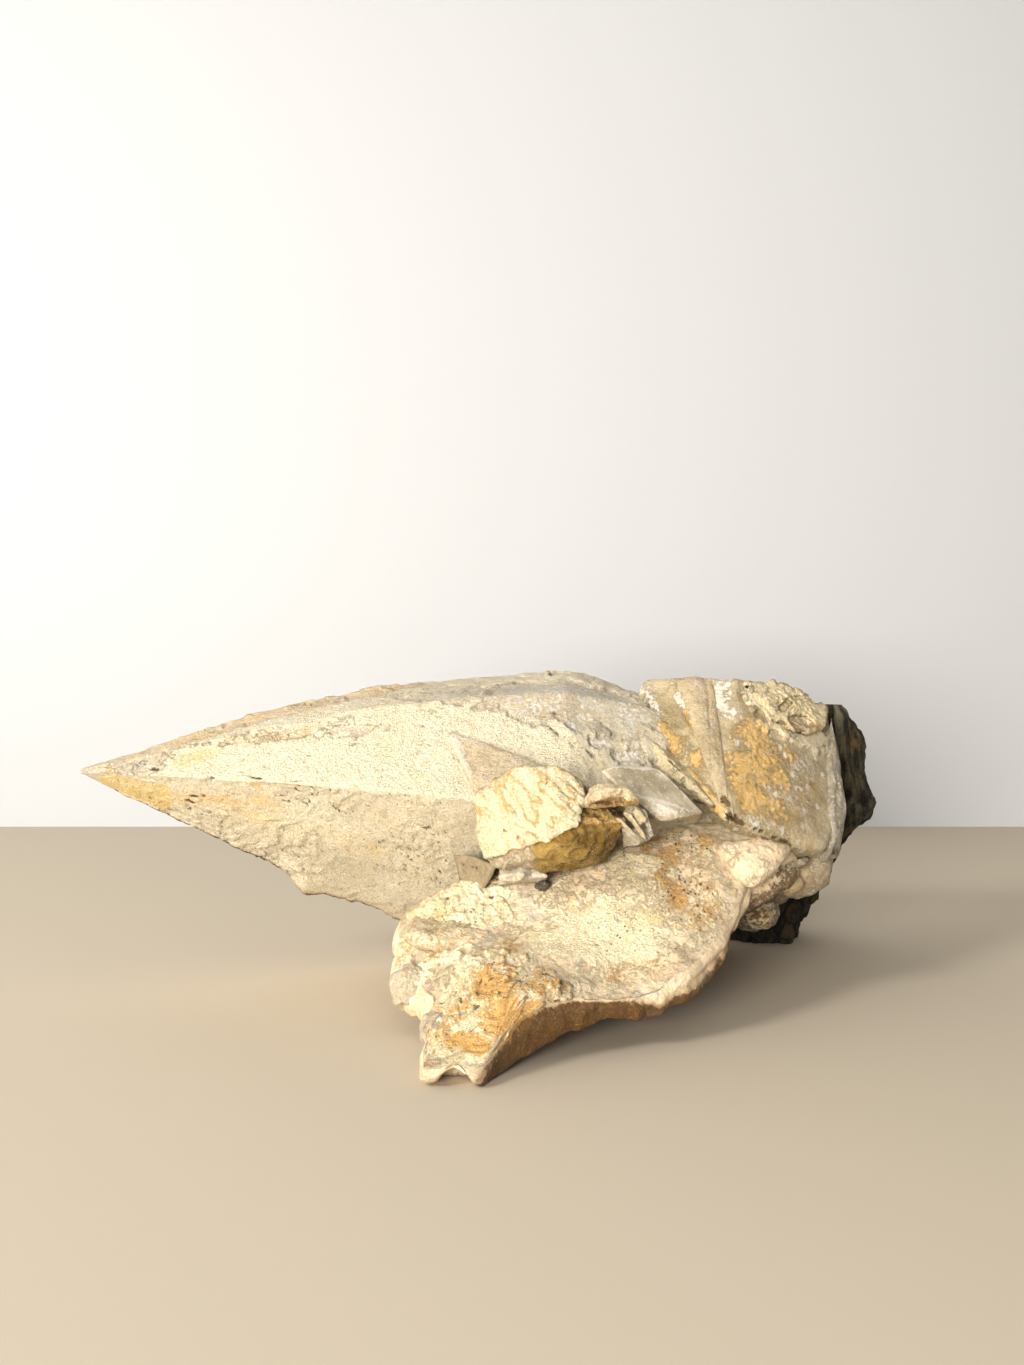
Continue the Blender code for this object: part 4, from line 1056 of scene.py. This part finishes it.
def putShelf():
    # rings from the centre out over the top face, round the broken rim and back in along the under face;
    # across runs from 0 on the top over the rim to 1 below; then crumb crust, growth ledges, pits and the leg's
    # step push it in and out
    centre = np.array(shelf["centre"])
    angles = np.linspace(-math.pi, math.pi, shelf["spokes"], endpoint=False)
    outline = np.array(shelf["outline"]) - centre
    turn = np.arctan2(outline[:, 1], outline[:, 0])
    order = np.argsort(turn)
    reach = np.interp(angles, turn[order], np.linalg.norm(outline, axis=1)[order], period=2 * math.pi)
    reach = reach * (1 + shelf["fluteDepth"] * np.sin(shelf["flutes"] * angles))
    share = np.linspace(0, 1, shelf["rimRings"] + 2)[1:-1]
    out = np.concatenate([0.03 + 0.93 * np.linspace(0, 1, shelf["topRings"]) ** 0.72,
                          0.96 + 0.04 * np.sin(math.pi * share), np.linspace(0.955, 0.06, shelf["underRings"])])
    across = np.concatenate([np.zeros(shelf["topRings"]), share, np.ones(shelf["underRings"])])
    x = centre[0] + np.outer(out, reach * np.cos(angles))
    y = centre[1] + np.outer(out, reach * np.sin(angles))
    top = shelfHeights(shelf["top"], x, y)
    under = np.minimum(shelfHeights(shelf["under"], x, y), top - shelf["least"])
    arch = np.exp(-((x - shelf["archAt"]) / shelf["archWidth"]) ** 2)
    under = under + shelf["archHeight"] * arch * smoothStep(*shelf["archEnd"], y)
    middle = 0.5 * (top + under)
    # near the rim both faces draw in towards the middle height
    close = smoothStep(0.80, 1.0, out)[:, None] * np.clip(1 - 2 * across, 0, 1)[:, None] * shelf["rimDraw"]
    z = top * (1 - across[:, None]) + under * across[:, None]
    z = z - close * (top - middle)
    rings = np.stack([x, y, z], 2)
    isTop = (across < 0.05)[:, None] + np.zeros_like(x)
    atRim = smoothStep(0.86, 0.96, out)[:, None] * (across < 0.5)[:, None]

    def marks(key, ragged, seed):
        return nearStrokes(rings, shelf[key], ragged, seed)

    yellow = marks("yellow", 0.8, 41) * isTop
    legCrust = marks("leg", 0.7, 43) * isTop
    grey = marks("grey", 0.5, 47)
    cream = marks("cream", 0.4, 49) * isTop
    pits = marks("pits", 0.2, 51)
    step = smoothStep(0.35, 0.6, marks("step", 0.4, 53)) * isTop
    crumb = np.maximum(yellow, legCrust) * (1 - np.clip(grey, 0, 1))
    raised = smoothStep(0.3, 0.55, crumb + 0.3 * layeredNoise(rings, 3, 2, 55)) * smoothStep(0.0, 0.2, crumb)
    nearDot, _, value = cellNoise(rings, shelf["crumbSize"], 57)
    crumbs = np.clip(0.75 - nearDot, 0, 1) * (0.4 + value)
    rightRim = smoothStep(0.0, 0.35, np.cos(np.arctan2(y - centre[1], x - centre[0]) + 0.75))
    ledge = layeredNoise(stretched(rings, (0.7, 0.7, 0.1), 2.2), shelf["ledgeSize"], 3, 59) * 2.4
    ledge = (np.floor(ledge) + smoothStep(0.5, 1.0, ledge - np.floor(ledge))) / 2.4
    height = 1.3 * layeredNoise(rings, 18, 3, 61) + 0.30 * layeredNoise(rings, 5, 3, 62) * isTop
    height = height + 0.14 * layeredNoise(rings, 1.6, 2, 63)
    height = height + raised * (0.7 + shelf["crumbHeight"] * crumbs) + shelf["stepHeight"] * step
    height = height - shelf["pitDepth"] * pits
    height = height + shelf["ledgeHeight"] * ledge * isTop * (1 - raised)
    facing = smoothStep(0.1, 0.6, across)[:, None] + 0 * x
    groove = np.exp(-((across[:, None] - 0.45 + 0.12 * layeredNoise(rings, 16, 2, 65)) / 0.12) ** 2)
    height = height - shelf["grooveDepth"] * groove * rightRim * (across > 0)[:, None] * smoothStep(40, 60, x)
    calm = 1 - 0.6 * smoothStep(-70, -78, y)
    height = height + 0.7 * layeredNoise(stretched(rings, (0, 0, 1), 2.0), 5.0, 3, 67) * facing * calm
    rings = pushOut(rings, height)
    x, y, z = np.moveaxis(rings, -1, 0)

    # painted shade: shade is the low side of the rim from the leg to the lobe, made dark brown with the warm
    # colour and darkened
    lowSide = smoothStep(0.35, 0.8, across)[:, None] + 0 * x
    shade = lowSide * smoothStep(-20, 30, x) * smoothStep(74, 64, x)
    # painted shade: behind is the side under the lobe, darkened from 34 mm up
    behind = facing * smoothStep(66, 74, x)
    ochre = 0.55 * raised * (0.35 + 0.7 * layeredNoise(rings, 5, 2, 71)) + marks("orange", 0.8, 73)
    # the leg's right face: legSide gives it some orange stain, and browns and darkens it as painted shade
    legSide = smoothStep(0.0, 0.18, across)[:, None] * smoothStep(*shelf["legSide"], y)
    legSide = legSide * smoothStep(-8, 0, x)
    ochre = ochre * (1 - 0.8 * facing) + 0.45 * legSide
    # painted shade: lowRim darkens the lower part of the rim's side
    lowRim = smoothStep(0.45, 0.9, across)[:, None] * (across > 0)[:, None] * smoothStep(-20, 10, x)
    foot = smoothStep(*shelf["footEnd"], y)
    granular = raised * smoothStep(*shelf["legEnd"], y) * (1 - foot)
    warm = 0.85 * shade + 0.9 * legSide + 0.15 * foot
    warm = warm + 0.10 * np.clip(0.3 + layeredNoise(rings, 8, 3, 75), 0, 1)
    ochre = ochre + 0.12 * granular + 0.22 * granular * smoothStep(0.75, 0.35, nearDot)
    # this mask is real dirt in the pits and painted shade on the leg's right face, the rim's low side and behind
    # the lobe
    dirt = 0.6 * marks("pits", 0.3, 77) + 0.70 * legSide + 0.60 * lowRim
    dirt = dirt + 0.35 * shade * np.clip(layeredNoise(rings, 7, 3, 79), 0, 1)
    dirt = dirt + 0.45 * raised * smoothStep(0.75, 0.95, nearDot) + 0.3 * granular * smoothStep(0.6, 0.85, nearDot)
    dirt = dirt + 0.5 * behind * smoothStep(34, 40, z)
    specks = 0.30 + marks("darkSpecks", 0.6, 81) + 0.35 * raised + 0.35 * granular
    mixed = layeredNoise(rings, 14, 3, 91)
    crust = np.clip(np.maximum(raised, 0.95 * cream), 0.0, 1)
    crust = np.maximum(crust, (0.46 + 0.22 * mixed) * isTop) * (1 - 0.8 * np.clip(grey, 0, 1))
    frost = 0.25 * atRim * rightRim + 0.30 * isTop * (1 - raised)
    mottled = isTop * (1 - raised) * smoothStep(-0.2, 0.5, layeredNoise(rings, 11, 3, 95))
    warm = warm + 0.28 * mottled * (1 - np.clip(cream, 0, 1))
    putCalcite("shelf_with_leg", rings, "shelfCalcite", shelf["look"], crust=crust, ochre=ochre, warm=warm,
               dirt=dirt, specks=specks, frost=frost, grey=grey)


putShelf()
print("shelf done")


# Small rounded lumps, each (centre, half widths, changes to the look, masks)

lumpRings, lumpSides = 36, 56

lumps = {
    "under_lobe": (
        (86.5, 5, 33.4), (8, 10, 4.2), {"bare": (0.36, 0.27, 0.15), "bareDeep": (0.5, 0.4, 0.26)},
        {"frost": 0.2, "warm": 0.4, "dirt": 0.3, "specks": 0.6}),
    "under_point": (
        (94, 16, 36), (13, 16, 10), {"bare": (0.36, 0.28, 0.18), "bareDeep": (0.5, 0.42, 0.29)},
        {"frost": 0.25, "warm": 0.2, "specks": 0.4}),
    "behind_rim": (
        (78, 6, 24), (9, 14, 7), {"bare": (0.3, 0.21, 0.11)}, {"warm": 0.4, "dirt": 0.45, "specks": 0.5}),
    "crust_hump": (
        (-14, -31, 24.2), (15, 14, 3.8), {"ochre": (0.9, 0.68, 0.3)},
        {"crust": 0.9, "ochre": 0.42, "specks": 0.6}),
    "left_nodule": (
        (-25.2, -44, 12), (4.8, 5, 5.2), {"crust": (0.8, 0.74, 0.61), "crustShade": (0.66, 0.52, 0.33)},
        {"crust": 1, "specks": 0.5}),
    "leg_heel": (
        (-15.8, -66, 7.2), (5, 8, 4.6), {"bare": (0.6, 0.48, 0.34), "bareDeep": (0.7, 0.58, 0.42)},
        {"frost": 0.15, "crust": 0.3, "specks": 0.4}),
    "mineral_grain": (
        (11.1, -30, 37.2), (2.5, 2.2, 2.3), {"bare": (0.1, 0.085, 0.06), "bareDeep": (0.22, 0.19, 0.14)}, {}),
}


def putLump(name):
    # a ball scaled to its half widths, then pushed out by soft noise, knobs and crumbs
    centre, halfWidths, look, given = lumps[name]
    down = ((np.arange(lumpRings) + 0.5) / lumpRings * math.pi)[:, None]
    turn = np.linspace(0, 2 * math.pi, lumpSides, endpoint=False)[None]
    ball = np.stack([np.sin(down) * np.cos(turn), np.sin(down) * np.sin(turn), np.cos(down) + 0 * turn], 2)
    rings = np.array(centre) + ball * np.array(halfWidths)
    _, edge, _ = cellNoise(rings, 3.2, 5)
    nearDot, _, value = cellNoise(rings, 2.0, 25)
    crumbs = np.clip(0.8 - nearDot, 0, 1) * (0.4 + value) * given.get("crust", 0)
    rings = pushOut(rings, 0.9 * layeredNoise(rings, 5, 4, 15) + 0.6 * np.minimum(edge, 0.5) + 1.2 * crumbs)
    putCalcite(name, rings, name + "Finish", look, **given)


for name in lumps:
    putLump(name)
print("lumps done")


# Host rock

hostRock = {
    "stations": [
        ((117, 52, 88), (3.6, 8)), ((119, 54, 77), (7.6, 18)), ((120.6, 56, 65), (8.6, 21)),
        ((122.8, 58, 54), (10.6, 23)), ((120, 59, 47), (10.4, 22)), ((112, 63, 37), (10.6, 20)),
        ((102, 68, 25), (14.4, 18)), ((99, 71, 12), (15.6, 15)), ((96, 73, -0.5), (14, 14))],
    "sides": 220, "rings": 190, "layers": 7, "ledge": 0.07, "cellSize": 7, "gapDepth": 0.9, "layerSize": 4.5,
    "cellsBelow": (42, 34), "green": (0.098, 0.084, 0.046), "dark": (0.009, 0.006, 0.002),
    "rust": (0.17, 0.095, 0.03), "pale": (0.26, 0.23, 0.16), "gap": (0.01, 0.008, 0.005),
}


def rockFinish():
    # dark layered rock: bands from noise squeezed across the layering, rusty and pale flecks, dull with a few
    # wet-looking spots
    material, tree, shader, place = newFinish("hostRockFinish")
    squeezed = addNode(tree, "ShaderNodeMapping", {"Vector": place, "Scale": (1.0, 0.5, 0.25)}).outputs[0]
    layers = noiseAt(tree, squeezed, 420, 6, 0.7)
    fine = noiseAt(tree, place, 1300, 4, 0.7)
    broad = noiseAt(tree, place, 90, 3)
    rust = spread(tree, reckon(tree, "MULTIPLY_ADD", broad, 0.6, layers), 0.85, 0.99)
    speck = reckon(tree, "MULTIPLY", spread(tree, dotsAt(tree, place, 520), 0.30, 0.16),
                   reckon(tree, "MULTIPLY_ADD", readMask(tree, "ochre"), 0.7, 0.2))
    colour = blendColours(tree, spread(tree, layers, 0.42, 0.58), hostRock["dark"], hostRock["green"])
    for share, over in ((reckon(tree, "MULTIPLY", rust, 0.8), "rust"), (speck, "rust"),
                        (readMask(tree, "frost"), "pale"),
                        # the gap colour goes where the dirt mask is: dark cracks and layers, and painted shade on
                        # the lower part
                        (reckon(tree, "MULTIPLY", readMask(tree, "dirt"), 0.8), "gap")):
        colour = blendColours(tree, share, colour, hostRock[over])
    tree.links.new(colour, shader.inputs["Base Color"])
    tree.links.new(spread(tree, fine, 0.35, 0.65, 0.45, 0.9), shader.inputs["Roughness"])
    relief = reckon(tree, "ADD", layers, fine)
    bump = addNode(tree, "ShaderNodeBump", {"Height": relief, "Strength": 1.0, "Distance": 0.0018})
    tree.links.new(bump.outputs[0], shader.inputs["Normal"])
    return material


def putHostRock():
    # a rounded profile with ledges of layering carried down the stations, roughened by upright layers
    # above and by broken cells below
    down = np.linspace(0, 1, hostRock["rings"])[:, None]
    given = np.linspace(0, 1, len(hostRock["stations"]))
    columns = np.array([middle + half for middle, half in hostRock["stations"]]).T
    x, y, z, halfX, halfY = (np.interp(down, given, column) for column in columns)
    turn = np.linspace(0, 2 * math.pi, hostRock["sides"], endpoint=False)[None]
    ledges = 1 + hostRock["ledge"] * (np.sin(hostRock["layers"] * turn + 9 * down) + np.sin(3 * turn - 21 * down))
    rings = np.stack([x + halfX * np.cos(turn) * ledges, y + halfY * np.sin(turn) * ledges, z + 0 * turn], 2)
    layered = layeredNoise(stretched(rings, (0.1, 0.35, 1.0), 5.0), hostRock["layerSize"], 3, 3)
    _, edge, value = cellNoise(rings, hostRock["cellSize"], 9)
    low = smoothStep(*hostRock["cellsBelow"], rings[..., 2])
    height = 0.9 * layered * (1 - 0.6 * low) + 1.4 * (value - 0.5) * (0.3 + low)
    height = height + 0.25 * layeredNoise(rings, 1.6, 2, 13)
    height = height - hostRock["gapDepth"] * np.clip(1 - edge / 0.10, 0, 1) * (0.25 + low)
    height = height * smoothStep(89, 84, rings[..., 2])
    rings = pushOut(rings, height)
    # dark in the cracks between cells and in the darkest layers, and the lower part darkened all over as painted
    # shade
    dirt = 0.7 * np.clip(1 - edge / 0.12, 0, 1) * (0.3 + low) + 0.4 * (layered < -0.5) + 0.6 * low
    frost = 0.65 * smoothStep(0.25, 0.85, layered) * (1 - 0.8 * low)
    putSkin("layered_rock", rings, masksFor(rings, ochre=low, dirt=dirt, frost=frost), rockFinish(),
            "host_rock")


putHostRock()
print("host rock done")
